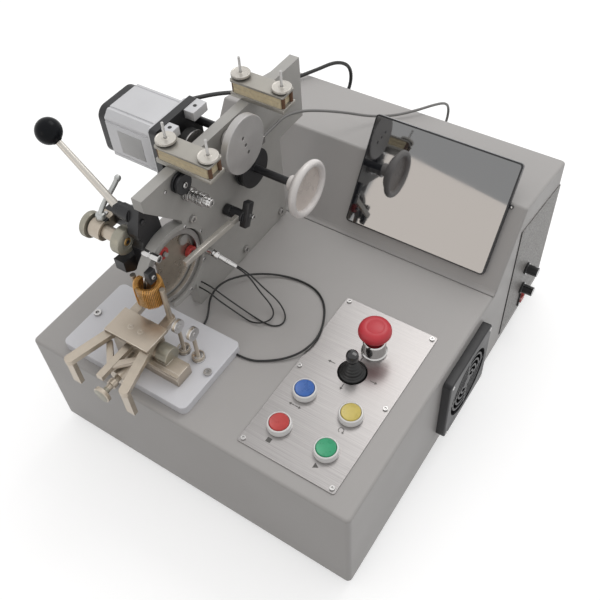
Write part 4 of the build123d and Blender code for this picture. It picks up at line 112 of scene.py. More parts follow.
def shade(name, colour, rough, metal=0.0, mottle=0.05, mottle_size=25.0, grain=0.0,
          grain_size=1500.0, stretch=None, rough_var=0.06, coat=0.0, sheen=0.0, specular=0.5,
          wear=0.0, wear_colour=(0.7, 0.7, 0.7), edge=0.0006, speckle=0.0, speckle_size=700.0,
          grime=0.0, ior=1.5):
    """A node material: colour drift, grain in the bump and gloss, softened and worn edges, and
    painted shade that darkens the colour in hollows.
    """
    made = bpy.data.materials.new(name)
    made.use_nodes = True
    tree = made.node_tree
    link = tree.links.new
    shader = tree.nodes["Principled BSDF"]
    shader.inputs["Metallic"].default_value = metal
    shader.inputs["Specular IOR Level"].default_value = specular
    if coat:
        shader.inputs["Coat Weight"].default_value = coat
        shader.inputs["Coat Roughness"].default_value = 0.06
    if sheen:
        shader.inputs["Sheen Weight"].default_value = sheen
        shader.inputs["Sheen Roughness"].default_value = 0.5
    shader.inputs["IOR"].default_value = ior
    vector = node(tree, "ShaderNodeTexCoord").outputs["Object"]
    drift = noise(tree, vector, mottle_size, 5.0, 0.6)
    grained = vector
    if stretch:
        mapping = node(tree, "ShaderNodeMapping", Scale=stretch)
        link(vector, mapping.inputs["Vector"])
        grained = mapping.outputs["Vector"]
    fine = noise(tree, grained, grain_size, 3.0, 0.55)
    patches = span(tree, drift, 0.3, 0.7)
    mix = node(tree, "ShaderNodeMix", data_type="RGBA")
    mix.inputs[6].default_value = (*[c * (1 - mottle) for c in colour], 1)
    mix.inputs[7].default_value = (*[min(1, c * (1 + mottle)) for c in colour], 1)
    link(patches, mix.inputs[0])
    result = mix.outputs[2]
    if stretch or speckle:
        spots = noise(tree, vector, speckle_size, 1.0) if speckle else fine
        amount = speckle or 0.12
        result = scaled(tree, result, span(tree, spots, 0.35, 0.65, 1 - amount, 1 + amount))
    link(span(tree, fine if stretch else drift, 0.3, 0.7, max(0.02, rough - rough_var),
              min(1.0, rough + rough_var)), shader.inputs["Roughness"])
    normal = None
    if edge:
        soft = node(tree, "ShaderNodeBevel", samples=4, Radius=edge)
        normal = soft.outputs["Normal"]
        if wear:
            geometry = node(tree, "ShaderNodeNewGeometry")
            meet = node(tree, "ShaderNodeVectorMath", operation="DOT_PRODUCT")
            link(soft.outputs["Normal"], meet.inputs[0])
            link(geometry.outputs["Normal"], meet.inputs[1])
            worn = span(tree, meet.outputs["Value"], 0.998, 0.93, 0.0, wear)
            edges = node(tree, "ShaderNodeMix", data_type="RGBA")
            edges.inputs[7].default_value = (*wear_colour, 1)
            link(math_node(tree, "MULTIPLY", worn, patches), edges.inputs[0])
            link(result, edges.inputs[6])
            result = edges.outputs[2]
    # Painted shade: the colour is darkened in hollows and tight corners, where ambient occlusion
    # finds them.
    if grime:
        hollow = node(tree, "ShaderNodeAmbientOcclusion", samples=4, Distance=0.008)
        result = scaled(tree, result, span(tree, hollow.outputs["AO"], 0.35, 0.9, 1 - grime))
    link(result, shader.inputs["Base Color"])
    if grain:
        bump = node(tree, "ShaderNodeBump", Strength=grain, Distance=0.0003)
        link(fine, bump.inputs["Height"])
        if normal:
            link(normal, bump.inputs["Normal"])
        normal = bump.outputs["Normal"]
    if normal:
        link(normal, shader.inputs["Normal"])
    return made


def look(colour, rough, **more):
    """One row of the table of looks, in the words of shade()."""
    return {"colour": colour, "rough": rough, **more}


# Some looks darken their colour in hollows by ambient occlusion: that is painted shade.
LOOKS = {
    "powder_coat": look((0.40, 0.385, 0.375), 0.42, mottle=0.03, mottle_size=9, grain=0.10,
        grain_size=1100, specular=0.45, edge=0.0012, wear=0.25, wear_colour=(0.5, 0.49, 0.48)),
    "cover_coat": look((0.22, 0.21, 0.20), 0.45, mottle=0.12, mottle_size=60, grain=0.5,
        grain_size=420, speckle=0.45, speckle_size=520),
    "foot_rubber": look((0.02, 0.02, 0.02), 0.8, grain=0.3, mottle=0.15),
    "screen": look((0.012, 0.013, 0.016), 0.28, grain=0.06, grain_size=2500, mottle=0.1),
    "glass": look((0.012, 0.013, 0.016), 0.035, rough_var=0.015, mottle=0.2, mottle_size=14,
        ior=2.7, edge=0.0),
    "panel_steel": look((0.37, 0.355, 0.35), 0.34, metal=1.0, mottle=0.03, mottle_size=6,
        grain=0.05, grain_size=260, stretch=(0.05, 6, 1), rough_var=0.05, edge=0.0005),
    "steel": look((0.56, 0.55, 0.54), 0.3, metal=1.0, grain=0.12, grain_size=1800, wear=0.3,
        grime=0.3),
    "bezel": look((0.78, 0.77, 0.76), 0.22, mottle=0.02, grain=0.04, coat=0.3),
    "cap_blue": look((0.035, 0.13, 0.44), 0.3, mottle=0.12, mottle_size=90, grain=0.05),
    "cap_yellow": look((0.62, 0.50, 0.12), 0.3, mottle=0.08, mottle_size=90, grain=0.05),
    "cap_red": look((0.52, 0.05, 0.045), 0.3, mottle=0.12, mottle_size=90, grain=0.05),
    "cap_green": look((0.03, 0.36, 0.17), 0.3, mottle=0.12, mottle_size=90, grain=0.05),
    "stop_red": look((0.55, 0.035, 0.05), 0.38, mottle=0.05, mottle_size=60, grain=0.05),
    "black_plastic": look((0.018, 0.018, 0.02), 0.42, grain=0.2, grain_size=1600, mottle=0.15,
        wear=0.3, wear_colour=(0.08, 0.08, 0.08)),
    "black_gloss": look((0.008, 0.008, 0.009), 0.12, mottle=0.2, grain=0.02, coat=0.5),
    "rubber_boot": look((0.012, 0.012, 0.012), 0.33, mottle=0.2, grain=0.06),
    "head_paint": look((0.42, 0.41, 0.39), 0.38, mottle=0.05, mottle_size=30, grain=0.12,
        grain_size=900, wear=0.45, wear_colour=(0.62, 0.61, 0.6), grime=0.25, edge=0.0009),
    "anodised": look((0.60, 0.60, 0.61), 0.40, metal=0.85, mottle=0.03, grain=0.16, grain_size=1500,
        wear=0.3, wear_colour=(0.8, 0.8, 0.8), edge=0.0009),
    "disc_grey": look((0.50, 0.485, 0.475), 0.42, metal=0.4, mottle=0.05, mottle_size=50,
        grain=0.12, grain_size=1500, wear=0.4, wear_colour=(0.65, 0.65, 0.65), edge=0.001),
    "black_metal": look((0.016, 0.016, 0.018), 0.36, mottle=0.15, grain=0.12, wear=0.5,
        wear_colour=(0.14, 0.14, 0.14), edge=0.0008),
    "belt_rubber": look((0.015, 0.015, 0.015), 0.7, grain=0.3, mottle=0.2),
    "wheel_white": look((0.78, 0.745, 0.725), 0.25, mottle=0.04, mottle_size=30, grain=0.05,
        coat=0.25, grime=0.15),
    "felt": look((0.70, 0.59, 0.38), 0.95, mottle=0.12, mottle_size=160, grain=0.8, grain_size=2600,
        sheen=0.5, edge=0.0005),
    "felt_end": look((0.13, 0.065, 0.035), 0.7, mottle=0.3, mottle_size=200, grain=0.5),
    "chrome": look((0.62, 0.61, 0.60), 0.17, metal=1.0, mottle=0.06, rough_var=0.05, grain=0.03,
        grime=0.45, edge=0.0005),
    "nickel": look((0.53, 0.465, 0.385), 0.36, metal=0.75, mottle=0.07, mottle_size=60, grain=0.2,
        grain_size=1300, wear=0.5, wear_colour=(0.80, 0.74, 0.62), grime=0.35, edge=0.0007),
    "bronze": look((0.24, 0.20, 0.14), 0.38, metal=0.8, mottle=0.12, mottle_size=80, grain=0.2,
        wear=0.6, wear_colour=(0.66, 0.6, 0.46), grime=0.3),
    "plate_white": look((0.68, 0.68, 0.71), 0.36, mottle=0.02, mottle_size=12, grain=0.08,
        grain_size=900, grime=0.1, edge=0.0012),
    "ferrite": look((0.44, 0.23, 0.055), 0.28, mottle=0.25, mottle_size=120, grain=0.15, coat=0.4),
    "copper": look((0.74, 0.42, 0.13), 0.34, metal=0.8, mottle=0.28, mottle_size=160, edge=0.0),
    "cord_black": look((0.012, 0.012, 0.012), 0.42, grain=0.08, grain_size=900, mottle=0.2,
        edge=0.0),
    "cord_grey": look((0.20, 0.195, 0.19), 0.45, grain=0.08, grain_size=900, mottle=0.1, edge=0.0),
    "circuit": look((0.30, 0.31, 0.31), 0.5, metal=0.4, mottle=0.1, grain=0.2),
    "clamp_plate": look((0.42, 0.40, 0.36), 0.34, metal=0.5, mottle=0.06, grain=0.15, wear=0.6,
        wear_colour=(0.75, 0.73, 0.7), grime=0.25),
    "pale_metal": look((0.62, 0.59, 0.54), 0.32, metal=0.6, mottle=0.05, mottle_size=60, grain=0.1,
        wear=0.4, wear_colour=(0.85, 0.83, 0.8), grime=0.2),
    "wheel_dish": look((0.68, 0.61, 0.56), 0.3, mottle=0.08, mottle_size=40, grain=0.1, coat=0.2),
    "motor_silver": look((0.62, 0.62, 0.635), 0.42, metal=0.35, mottle=0.03, grain=0.14,
        grain_size=1700, wear=0.4, wear_colour=(0.85, 0.85, 0.86), edge=0.0009),
    "label_grey": look((0.60, 0.60, 0.60), 0.5, mottle=0.03, grain=0.03),
    "disc_nickel": look((0.37, 0.352, 0.29), 0.36, metal=0.55, mottle=0.07, mottle_size=70,
        grain=0.15, wear=0.6, wear_colour=(0.7, 0.68, 0.6), grime=0.2),
    "brass": look((0.40, 0.24, 0.08), 0.35, metal=0.9, mottle=0.15, grain=0.2),
    "ball_black": look((0.008, 0.009, 0.011), 0.26, mottle=0.2, grain=0.05, specular=0.1),
    "satin_steel": look((0.50, 0.51, 0.50), 0.4, metal=0.8, mottle=0.05, grain=0.15, wear=0.4),
    "web_plate": look((0.40, 0.35, 0.29), 0.3, metal=0.8, mottle=0.12, mottle_size=60, grain=0.12),
    "seam_dark": look((0.015, 0.015, 0.015), 0.7, mottle=0.2, edge=0.0),
    "lip_nickel": look((0.50, 0.435, 0.36), 0.34, metal=0.75, mottle=0.05, mottle_size=60,
        grain=0.2, grain_size=1300, wear=1.0, wear_colour=(0.95, 0.92, 0.85), grime=0.35,
        edge=0.0011),
    "print": look((0.10, 0.095, 0.09), 0.5, mottle=0.1, mottle_size=300, edge=0.0),
}
M = {name: shade(name, **values) for name, values in LOOKS.items()}

# the nodes that wear each look; any other node is steel
WEARERS = {
    "powder_coat": "base_cabinet bottom_plate console_housing",
    "foot_rubber": "rubber_feet",
    "cover_coat": "side_cover",
    "screen": "screen_housing",
    "panel_steel": "panel_plate",
    "steel": "screws motor_pulley winding_ring lever clamp_handle",
    "bezel": "switch_bodies",
    "cap_blue": "button_blue",
    "cap_yellow": "button_yellow",
    "cap_red": "button_red rocker_button ring_roller_upper ring_roller_rear",
    "cap_green": "button_green",
    "stop_red": "stop_head",
    "black_plastic": "joystick_gimbal fan_housing fan_rotor motor_cap wire_pulley cable_glands",
    "black_gloss": "joystick_stick side_fittings lever_ball",
    "circuit": "electronics",
    "head_paint": "head_plate ring_housing",
    "black_metal": "motor_bracket wheel_shaft lever_block",
    "anodised": "motor_body",
    "belt_rubber": "drive_belt",
    "wheel_white": "handwheel",
    "disc_grey": "grey_disc",
    "felt": "wire_tensioners",
    "chrome": "chrome_spindle sensor_head",
    "nickel": "swing_arm front_spindle chuck_body jaw_left jaw_right chuck_knob",
    "plate_white": "chuck_plate",
    "ferrite": "ring_core",
    "copper": "core_winding",
    "cord_black": "loop_cord sensor_fibres motor_cable",
    "cord_grey": "sensor_cable",
}
SKIN = {name: skin for skin, names in WEARERS.items() for name in names.split()}
for name, thing in NODES.items():
    thing.data.materials.clear()
    thing.data.materials.append(M[SKIN.get(name, "steel")])


# ------------------------------------------------------------------ mesh building, in millimetres
AXES = {
    "X": Matrix(((0, 0, 1), (1, 0, 0), (0, 1, 0))),
    "Y": Matrix(((0, 1, 0), (0, 0, 1), (1, 0, 0))),
    "Z": Matrix.Identity(3),
}


def turned(direction):
    """The frame whose Z is that direction."""
    return Vector(direction).to_track_quat("Z", "Y").to_matrix()


class Piece:
    """One mesh made of several forms, each with its own material."""

    def __init__(self, name, body, *skins):
        self.name, self.body, self.skins = name, body, skins
        self.bm = bmesh.new()

    def _put(self, verts, faces, frame3, at, skin):
        """Adds faces, given in frame3 at a place, and returns them."""
        made = [self.bm.verts.new(frame3 @ Vector(v) + Vector(at)) for v in verts]
        out = []
        for f in faces:
            face = self.bm.faces.new([made[i] for i in f])
            face.material_index = skin
            out.append(face)
        return out

    def _soften(self, faces, bevel, segments, skin):
        edges = list(dict.fromkeys(e for f in faces for e in f.edges))
        bmesh.ops.bevel(self.bm, geom=edges, offset=bevel, segments=segments, profile=0.6,
                        affect="EDGES", clamp_overlap=True, material=skin)

    def lathe(self, profile, at, axis="Z", steps=64, skin=0, teeth=0.0, bands=()):
        """Turns (radius, height) points round an axis; bands of the profile carry teeth."""
        frame3 = AXES[axis] if isinstance(axis, str) else turned(axis)
        verts, faces, rings = [], [], []
        for number, (radius, height) in enumerate(profile):
            if radius <= 1e-6:
                rings.append([len(verts)])
                verts.append((0, 0, height))
                continue
            ring = []
            for k in range(steps):
                deep = teeth if (number in bands and k % 2) else 0
                a = 2 * math.pi * k / steps
                ring.append(len(verts))
                verts.append(((radius - deep) * math.cos(a), (radius - deep) * math.sin(a), height))
            rings.append(ring)
        for low, high in zip(rings, rings[1:]):
            for k in range(steps):
                n = (k + 1) % steps
                if len(low) == 1 and len(high) > 1:
                    faces.append((low[0], high[n], high[k]))
                elif len(high) == 1 and len(low) > 1:
                    faces.append((low[k], low[n], high[0]))
                elif len(low) > 1:
                    faces.append((low[k], low[n], high[n], high[k]))
        if profile[0] != profile[-1]:
            if len(rings[0]) > 1:
                faces.append(tuple(reversed(rings[0])))
            if len(rings[-1]) > 1:
                faces.append(tuple(rings[-1]))
        self._put(verts, faces, frame3, at, skin)
        return self

    def box(self, low, high, bevel=0.6, skin=0, segments=2, spin=None):
        """A box between two corners, turned about its middle by spin."""
        low, high = Vector(low), Vector(high)
        size, middle = high - low, (high + low) / 2
        made = bmesh.ops.create_cube(self.bm, size=1)["verts"]
        bmesh.ops.scale(self.bm, vec=size, verts=made)
        faces = list(dict.fromkeys(f for v in made for f in v.link_faces))
        for f in faces:
            f.material_index = skin
        turn = spin or Matrix.Identity(3)
        for v in made:
            v.co = turn @ v.co + middle
        if bevel:
            self._soften(faces, bevel, segments, skin)
        return self

    def prism(self, outline, start, depth, axis="Z", bevel=0.5, skin=0, segments=2):
        """A flat outline in the two axes after the named one, drawn out along it."""
        frame3 = AXES[axis] if isinstance(axis, str) else axis
        n = len(outline)
        area = sum(a[0] * b[1] - b[0] * a[1] for a, b in zip(outline, outline[1:] + outline[:1]))
        outline = outline if area > 0 else outline[::-1]
        if isinstance(start, (tuple, Vector)):
            at = Vector(start)
        else:
            at = frame3 @ Vector((0, 0, start))
        verts = [(x, y, 0) for x, y in outline] + [(x, y, depth) for x, y in outline]
        faces = [tuple(range(n - 1, -1, -1)), tuple(range(n, 2 * n))]
        faces += [(i, (i + 1) % n, n + (i + 1) % n, n + i) for i in range(n)]
        out = self._put(verts, faces, frame3, at, skin)
        if bevel:
            self._soften(out[:2], bevel, segments, skin)
        return self

    def rod(self, start, end, radius, skin=0, steps=24):
        run = Vector(end) - Vector(start)
        edge = min(0.3, radius * 0.2)
        return self.lathe([(radius - edge, 0), (radius, edge), (radius, run.length - edge),
                           (radius - edge, run.length)], start, run, steps, skin)

    def screw(self, at, axis, radius=3.0, height=2.5, skin=0, hollow=1):
        """A socket screw head that stands on a face."""
        s = radius * 0.52
        depth = height * 0.55
        self.lathe([(radius - 0.2, 0), (radius, 0.2), (radius, height - 0.5),
                    (radius - 0.5, height), (s, height)], at, axis, 28, skin)
        return self.lathe([(s * 1.02, height + 0.01), (s * 0.98, height - depth),
                           (0, height - depth)], at, axis, 6, hollow)

    def tube(self, points, radius, sides, skin=0):
        """A tube along points that lie close together."""
        points = [Vector(p) for p in points]
        ways = [(after - before).normalized()
                for before, after in zip(points[:1] + points[:-1], points[1:] + points[-1:])]
        up = ways[0].orthogonal().normalized()
        verts, faces = [], []
        for p, w in zip(points, ways):
            up = (up - w * up.dot(w)).normalized()
            side = w.cross(up)
            for k in range(sides):
                a = 2 * math.pi * k / sides
                verts.append(p + (up * math.cos(a) + side * math.sin(a)) * radius)
        for i in range(len(points) - 1):
            for k in range(sides):
                n = (k + 1) % sides
                faces.append((i * sides + k, i * sides + n, (i + 1) * sides + n,
                              (i + 1) * sides + k))
        faces.append(tuple(reversed(range(sides))))
        faces.append(tuple(range(len(verts) - sides, len(verts))))
        self._put(verts, faces, Matrix.Identity(3), (0, 0, 0), skin)
        return self

    def done(self, *replaced, slot=None, sharp=32.0):
        """Makes the object in metres; edges past the sharp angle stay crisp."""
        bm = self.bm
        bmesh.ops.scale(bm, vec=(MM, MM, MM), verts=bm.verts)
        bmesh.ops.recalc_face_normals(bm, faces=bm.faces)
        for f in bm.faces:
            f.smooth = True
        for e in bm.edges:
            if len(e.link_faces) == 2 and e.calc_face_angle(0) > math.radians(sharp):
                e.smooth = False
        mesh = bpy.data.meshes.new(self.name)
        bm.to_mesh(mesh)
        bm.free()
        for skin in self.skins:
            mesh.materials.append(M[skin])
        thing = bpy.data.objects.new(self.name, mesh)
        bpy.context.scene.collection.objects.link(thing)
        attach(thing, self.body)
        if replaced:
            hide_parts(*replaced)
        return thing


def arc(radius, degrees, centre=(0, 0)):
    """Points of a circle at the given angles."""
    return [(centre[0] + radius * math.cos(math.radians(a)),
             centre[1] + radius * math.sin(math.radians(a))) for a in degrees]


# --------------------------------------------- camera, from the photo's vanishing points
scene = bpy.context.scene
camera = bpy.data.objects.new("camera", bpy.data.cameras.new("camera"))
scene.collection.objects.link(camera)
right = Vector((0.8357, 0.5472, -0.0533))
up = Vector((-0.3919, 0.6603, 0.6408))
back = Vector((0.3861, -0.5143, 0.7659))
looks = Matrix((right, up, back)).transposed().to_4x4()
camera.matrix_world = Matrix.Translation((0.4150, -0.5782, 0.9600)) @ looks
camera.data.sensor_width = 36.0
camera.data.lens = 47.37
camera.data.shift_y = -0.0025
camera.data.clip_start = 0.01
scene.camera = camera


# ------------------------------------------------------------------ cords
def spot(x, y, z):
    """From the head plate's right face, the ring's middle and the cabinet's top."""
    return (PLATE_RIGHT + x, RING_Y + y, TOP + z)


def over(x, y, z):
    """From the head plate's right face, the console's front and the cabinet's top."""
    return (PLATE_RIGHT + x, CONSOLE_FRONT + y, TOP + z)


def behind(gland_x, x, y, z):
    """From the mouth of the gland at that x, on the rear."""
    return (gland_x + x, 300.0 + y, TOP + 12.0 + z)


def cord(name, points, radius, node_name, skin):
    """A round cord as a NURBS curve of the third order, as the part routes it."""
    curve = bpy.data.curves.new(name, "CURVE")
    curve.dimensions = "3D"
    curve.bevel_depth = radius * MM
    curve.bevel_resolution = 4
    curve.resolution_u = 8
    curve.use_fill_caps = True
    spline = curve.splines.new("NURBS")
    spline.points.add(len(points) - 1)
    for point, place in zip(spline.points, points):
        point.co = (*[v / 1000 for v in place], 1)
    spline.order_u = 3
    spline.use_endpoint_u = True
    curve.materials.append(M[skin])
    thing = bpy.data.objects.new(name, curve)
    scene.collection.objects.link(thing)
    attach(thing, "machine")
    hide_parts(node_name)


LOOP_Z = 1.7
LOOP_POINTS = [(5.0, -169.5, TOP + LOOP_Z), (23.0, -169.5, TOP + LOOP_Z), spot(124.6, -7.0, LOOP_Z),
               spot(142.6, 6.5, LOOP_Z + 1.5), spot(156.1, 24.5, LOOP_Z + 3.6),
               spot(161.1, 50.0, LOOP_Z + 3.6), spot(153.6, 78.0, LOOP_Z + 1.5),
               spot(137.1, 106.0, LOOP_Z), spot(114.6, 120.5, LOOP_Z), spot(87.6, 122.5, LOOP_Z),
               spot(59.6, 116.0, LOOP_Z + 1), spot(34.6, 100.5, LOOP_Z + 4),
               spot(17.6, 80.0, LOOP_Z + 8), spot(8.1, 56.5, LOOP_Z + 12),
               spot(10.1, 32.0, LOOP_Z + 11), spot(20.1, 14.5, LOOP_Z + 5),
               (-58.0, -149.0, TOP + LOOP_Z + 1), (-58.0, -158.5, TOP + LOOP_Z),]
cord("loop_line", LOOP_POINTS, 1.4, "loop_cord", "cord_black")

SENSOR_ROOT = Vector((-75.0, -98.0, TOP + 75.0))
SENSOR_TIP = SENSOR_ROOT + Vector((28.4, 9.0, -19.0))
SENSOR_WAY = (SENSOR_TIP - SENSOR_ROOT).normalized()
SENSOR_SIDE = SENSOR_WAY.cross(Vector((0, 0, 1))).normalized()
FIBRE_Z = 1.3


def fibre_start(side):
    foot = SENSOR_TIP + SENSOR_SIDE * (side * 1.25)
    return [tuple(foot), tuple(foot + SENSOR_WAY * 16.0)]


FIBRE_0 = [*fibre_start(-1), spot(68.6, 71.5, 25.0), spot(86.6, 72.5, 13.0), spot(99.6, 68.0, 6.0),
           spot(108.6, 59.5, FIBRE_Z + 1), spot(109.3, 48.5, FIBRE_Z), spot(100.6, 41.0, FIBRE_Z),
           spot(85.6, 40.0, FIBRE_Z), spot(67.6, 41.5, FIBRE_Z + 1), spot(46.6, 41.0, 9.0),
           spot(29.6, 37.0, 22.0), spot(14.0, 33.0, 36.0), spot(0, 33.0, 36.0),]
FIBRE_1 = [*fibre_start(1), spot(66.6, 65.5, 22.0), spot(82.6, 63.5, 11.0),
           spot(93.2, 56.5, FIBRE_Z + 5), spot(95.0, 45.0, FIBRE_Z + 4.6),
           spot(87.1, 35.4, FIBRE_Z + 3.4), spot(73.6, 32.5, FIBRE_Z),
           spot(58.6, 33.0, FIBRE_Z + 2), spot(42.6, 32.5, 9.0), spot(27.6, 30.0, 18.0),
           spot(14.0, 27.5, 31.0), spot(0, 27.5, 31.0),]
cord("fibre_outer", FIBRE_0, 1.0, "sensor_fibres", "cord_black")
cord("fibre_inner", FIBRE_1, 1.0, "sensor_fibres", "cord_black")

CABLE_ROOT = (-75.0, 25.0, PLATE_TOP - 53.4)
SENSOR_CABLE = [CABLE_ROOT, (CABLE_ROOT[0], CABLE_ROOT[1] + 22.0, CABLE_ROOT[2]),
                over(11.6, -7.0, 172.0), over(17.6, 23.0, 162.0), over(26.6, 57.0, 143.0),
                over(39.6, 93.0, 121.0), over(56.6, 129.0, 97.0), over(76.6, 163.0, 83.0),
                over(96.6, 195.0, 79.0), behind(34.0, -7.0, -2.0, 64.0),
                behind(34.0, 0, 22.0, 55.0), behind(34.0, 0, 38.0, 37.0),
                behind(34.0, 0, 37.0, 16.0), behind(34.0, 0, 21.0, 1.0), behind(34.0, 0, 0, 0),]
cord("sensor_lead", SENSOR_CABLE, 1.9, "sensor_cable", "cord_grey")

MOTOR_CABLE = [(-189.0, -29.5, PLATE_TOP - 30.0), (-189.0, 4.5, PLATE_TOP - 30.0),
               over(-104.4, -35.0, 176.0), over(-104.4, 7.0, 156.0), over(-105.4, 51.0, 130.0),
               over(-106.4, 95.0, 105.0), over(-105.4, 139.0, 88.0), over(-98.4, 177.0, 80.0),
               behind(-140.0, -27.0, -10.0, 65.0), behind(-140.0, -12.0, 21.0, 66.0),
               behind(-140.0, -2.5, 45.5, 48.0), behind(-140.0, 0, 47.0, 19.5),
               behind(-140.0, 0, 27.0, -0.5), behind(-140.0, 0, 0, 0),]
cord("motor_lead", MOTOR_CABLE, 2.8, "motor_cable", "cord_black")

# ------------------------------------------------------------------ console and screen
slope_up = Vector((0, math.cos(SLOPE), math.sin(SLOPE)))
slope_out = Vector((0, -math.sin(SLOPE), math.cos(SLOPE)))
face = Matrix((Vector((1, 0, 0)), slope_up, slope_out)).transposed()


def on_face(x, s, out):
    """A point of the console's leaning front: across, up the slope and out of it."""
    return Vector((x, CONSOLE_FRONT, TOP)) + slope_up * s + slope_out * out


def rounded(w, h, r, steps=6):
    """A rectangle with round corners about the origin."""
    points, x, y = [], w / 2 - r, h / 2 - r
    for corner, start in (((x, y), 0), ((-x, y), 90), ((-x, -y), 180), ((x, -y), 270)):
        points += arc(r, [start + 90 * k / steps for k in range(steps + 1)], corner)
    return points


glass = Piece("screen_glass", "machine", "glass")
glass.prism(rounded(198.5, 143.5, 3.2), on_face(SCREEN_X, SCREEN_UP, 7.9), 0.5, face, 0.2)
glass.done(slot="screen", sharp=2.0)
rim = Piece("screen_rim", "machine", "screen")
rim.prism(rounded(202.6, 147.6, 4.4), on_face(SCREEN_X, SCREEN_UP, 0.2), 7.5, face, 0.8)
rim.done(slot="screen")

# the rounded inner bend where the console meets the cabinet's top
fold = Piece("console_fold", "machine", "powder_coat")
cove, reach = [(CONSOLE_FRONT + 0.3, TOP - 0.2)], 5.0
for k in range(9):
    a = k / 8
    start = Vector((CONSOLE_FRONT - reach, TOP))
    middle = Vector((CONSOLE_FRONT, TOP))
    end = Vector((CONSOLE_FRONT + reach * math.cos(SLOPE), TOP + reach * math.sin(SLOPE)))
    p = start * (1 - a) ** 2 + middle * 2 * a * (1 - a) + end * a ** 2
    cove.append((p.x, p.y))
cove.append((cove[-1][0] + 0.6, cove[-1][1] - 0.2))
fold.prism(cove, LEFT + 0.4, RIGHT - LEFT - 0.8, "X", 0)
fold.done()

# ------------------------------------------------------------------ buttons, stop head and stick
# The bezels, the collar and the caps stand at the control plate's face, and their heights are
# over it. Those of the stop head and the stick are from the table.
SWITCH_FOOT, CAP_FOOT = -29.5, -16.5
bodies = Piece("switch_bezels", "machine", "bezel", "chrome", "black_plastic")
for x, y in BUTTONS.values():
    bodies.lathe([(0, SWITCH_FOOT), (11, SWITCH_FOOT), (11, 0), (14.4, 0), (14.9, 0.6), (14.9, 4.2),
                  (14.5, 4.8), (14.5, 7.2), (14.1, 8.3), (13.4, 8.9), (12.7, 9.0), (12.2, 8.6),
                  (12.0, 7.8), (12.0, 1.1), (0, 1.1)], (x, y, PANEL_TOP), steps=72)
bodies.lathe([(0, SWITCH_FOOT), (11, SWITCH_FOOT), (11, 0), (15.8, 0), (16.0, 2.2), (14.4, 3.0),
              (14.0, 4.0), (14.0, 20.0), (13.4, 21.2), (12.6, 22.0), (9.0, 22.0), (9.0, 15.0),
              (0, 15.0)], (*STOP, PANEL_TOP), steps=96, skin=1)
bodies.done("switch_bodies", slot="bezel")
for name, (x, y) in BUTTONS.items():
    cap = Piece(f"cap_{name}", f"button_{name}", f"cap_{name}")
    cap.lathe([(0, CAP_FOOT), (6.4, CAP_FOOT), (6.4, 4.5), (11.4, 4.5), (11.6, 4.8), (11.6, 8.7),
               (11.3, 9.3), (10.7, 9.6), (9.8, 9.45), (8.0, 9.2), (4.0, 9.0), (0, 8.95)],
              (x, y, PANEL_TOP), steps=72)
    cap.done(f"button_{name}")

stop = Piece("stop_mushroom", "stop_head", "stop_red", "chrome")
stop.lathe([(0, 165), (8, 165), (8, 209.1), (11.6, 209.1), (12.2, 210.0), (13.6, 213.6),
            (15.6, 216.2), (18.2, 217.9), (19.4, 218.4), (20.0, 219.6), (20.1, 221.6),
            (19.8, 224.2), (18.9, 226.7), (17.2, 228.6), (14.8, 229.9), (12.4, 230.4),
            (10.6, 230.3), (10.0, 230.1), (9.2, 230.35), (5.0, 230.9), (0, 231.1)], (*STOP, 0),
           steps=96)
stop.done("stop_head")

stick = Piece("stick_boot", "joystick_stick", "rubber_boot", "black_gloss")
profile = [(0, 169), (16.6, 169), (17.4, 172), (17.7, 175), (17.3, 178.5), (16.7, 181.0),
           (15.9, 183.0)]
RIBS = 5
for k in range(RIBS):
    low = 184.0 + k * 4.0
    wide = 15.0 - 9.0 * ((k + 0.3) / RIBS) ** 0.8
    profile += [(wide, low), (wide - 0.5, low + 1.3), (wide - 1.9, low + 2.6),
                (wide - 2.1, low + 3.4)]
profile += [(5.0, 205.0), (4.9, 206.0)]
stick.lathe([*profile, (4.9, 209)], (*STICK, 0), steps=64)
stick.lathe([(5.0, 204.6), (5.6, 205.0), (6.9, 206.6), (7.5, 209.0), (7.6, 213.0), (7.4, 216.4),
             (6.6, 218.4), (5.0, 219.3), (0, 219.5)], (*STICK, 0), steps=64, skin=1)
stick.done("joystick_stick", slot="black_gloss")

# plain signs beside the switches: arrows, a square, a triangle and a turning arrow
signs = Piece("panel_signs", "machine", "print")
SIGN_Z = PANEL_TOP - 0.02


def flat(points):
    signs.prism(points, SIGN_Z, 0.1, "Z", 0)


def arrow(x, y, turn, size):
    c, s = math.cos(math.radians(turn)), math.sin(math.radians(turn))
    shape = [(-size, -0.55), (size * 0.3, -0.55), (size * 0.3, -2.1), (size, 0), (size * 0.3, 2.1),
             (size * 0.3, 0.55), (-size, 0.55)]
    flat([(x + px * c - py * s, y + px * s + py * c) for px, py in shape])


for turn, off in ((0, 29), (180, 29), (90, 24), (270, 24)):
    arrow(*arc(off, [turn], STICK)[0], turn, 5.0)
x, y = BUTTONS["blue"]
arrow(x + 4.2, y - 21.5, 0, 3.8)
arrow(x - 4.2, y - 21.5, 180, 3.8)
x, y = BUTTONS["red"]
flat([(x - 3, y - 24.5), (x + 3, y - 24.5), (x + 3, y - 18.5), (x - 3, y - 18.5)])
x, y = BUTTONS["green"]
flat([(x - 2.8, y - 25), (x + 3.4, y - 21.5), (x - 2.8, y - 18)])
x, y = BUTTONS["yellow"]
outer, inner = (arc(radius, range(-20, 261, 20), (x, y - 21.5)) for radius in (3.6, 2.7))
for k in range(len(outer) - 1):
    flat([outer[k], outer[k + 1], inner[k + 1], inner[k]])
flat([(x + 1.4, y - 23.0), (x + 5.0, y - 23.0), (x + 3.2, y - 25.6)])
signs.done(slot="panel_steel")


# ------------------------------------------------------------------ head details
def spin_x(degrees):
    return Matrix.Rotation(math.radians(degrees), 3, "X")


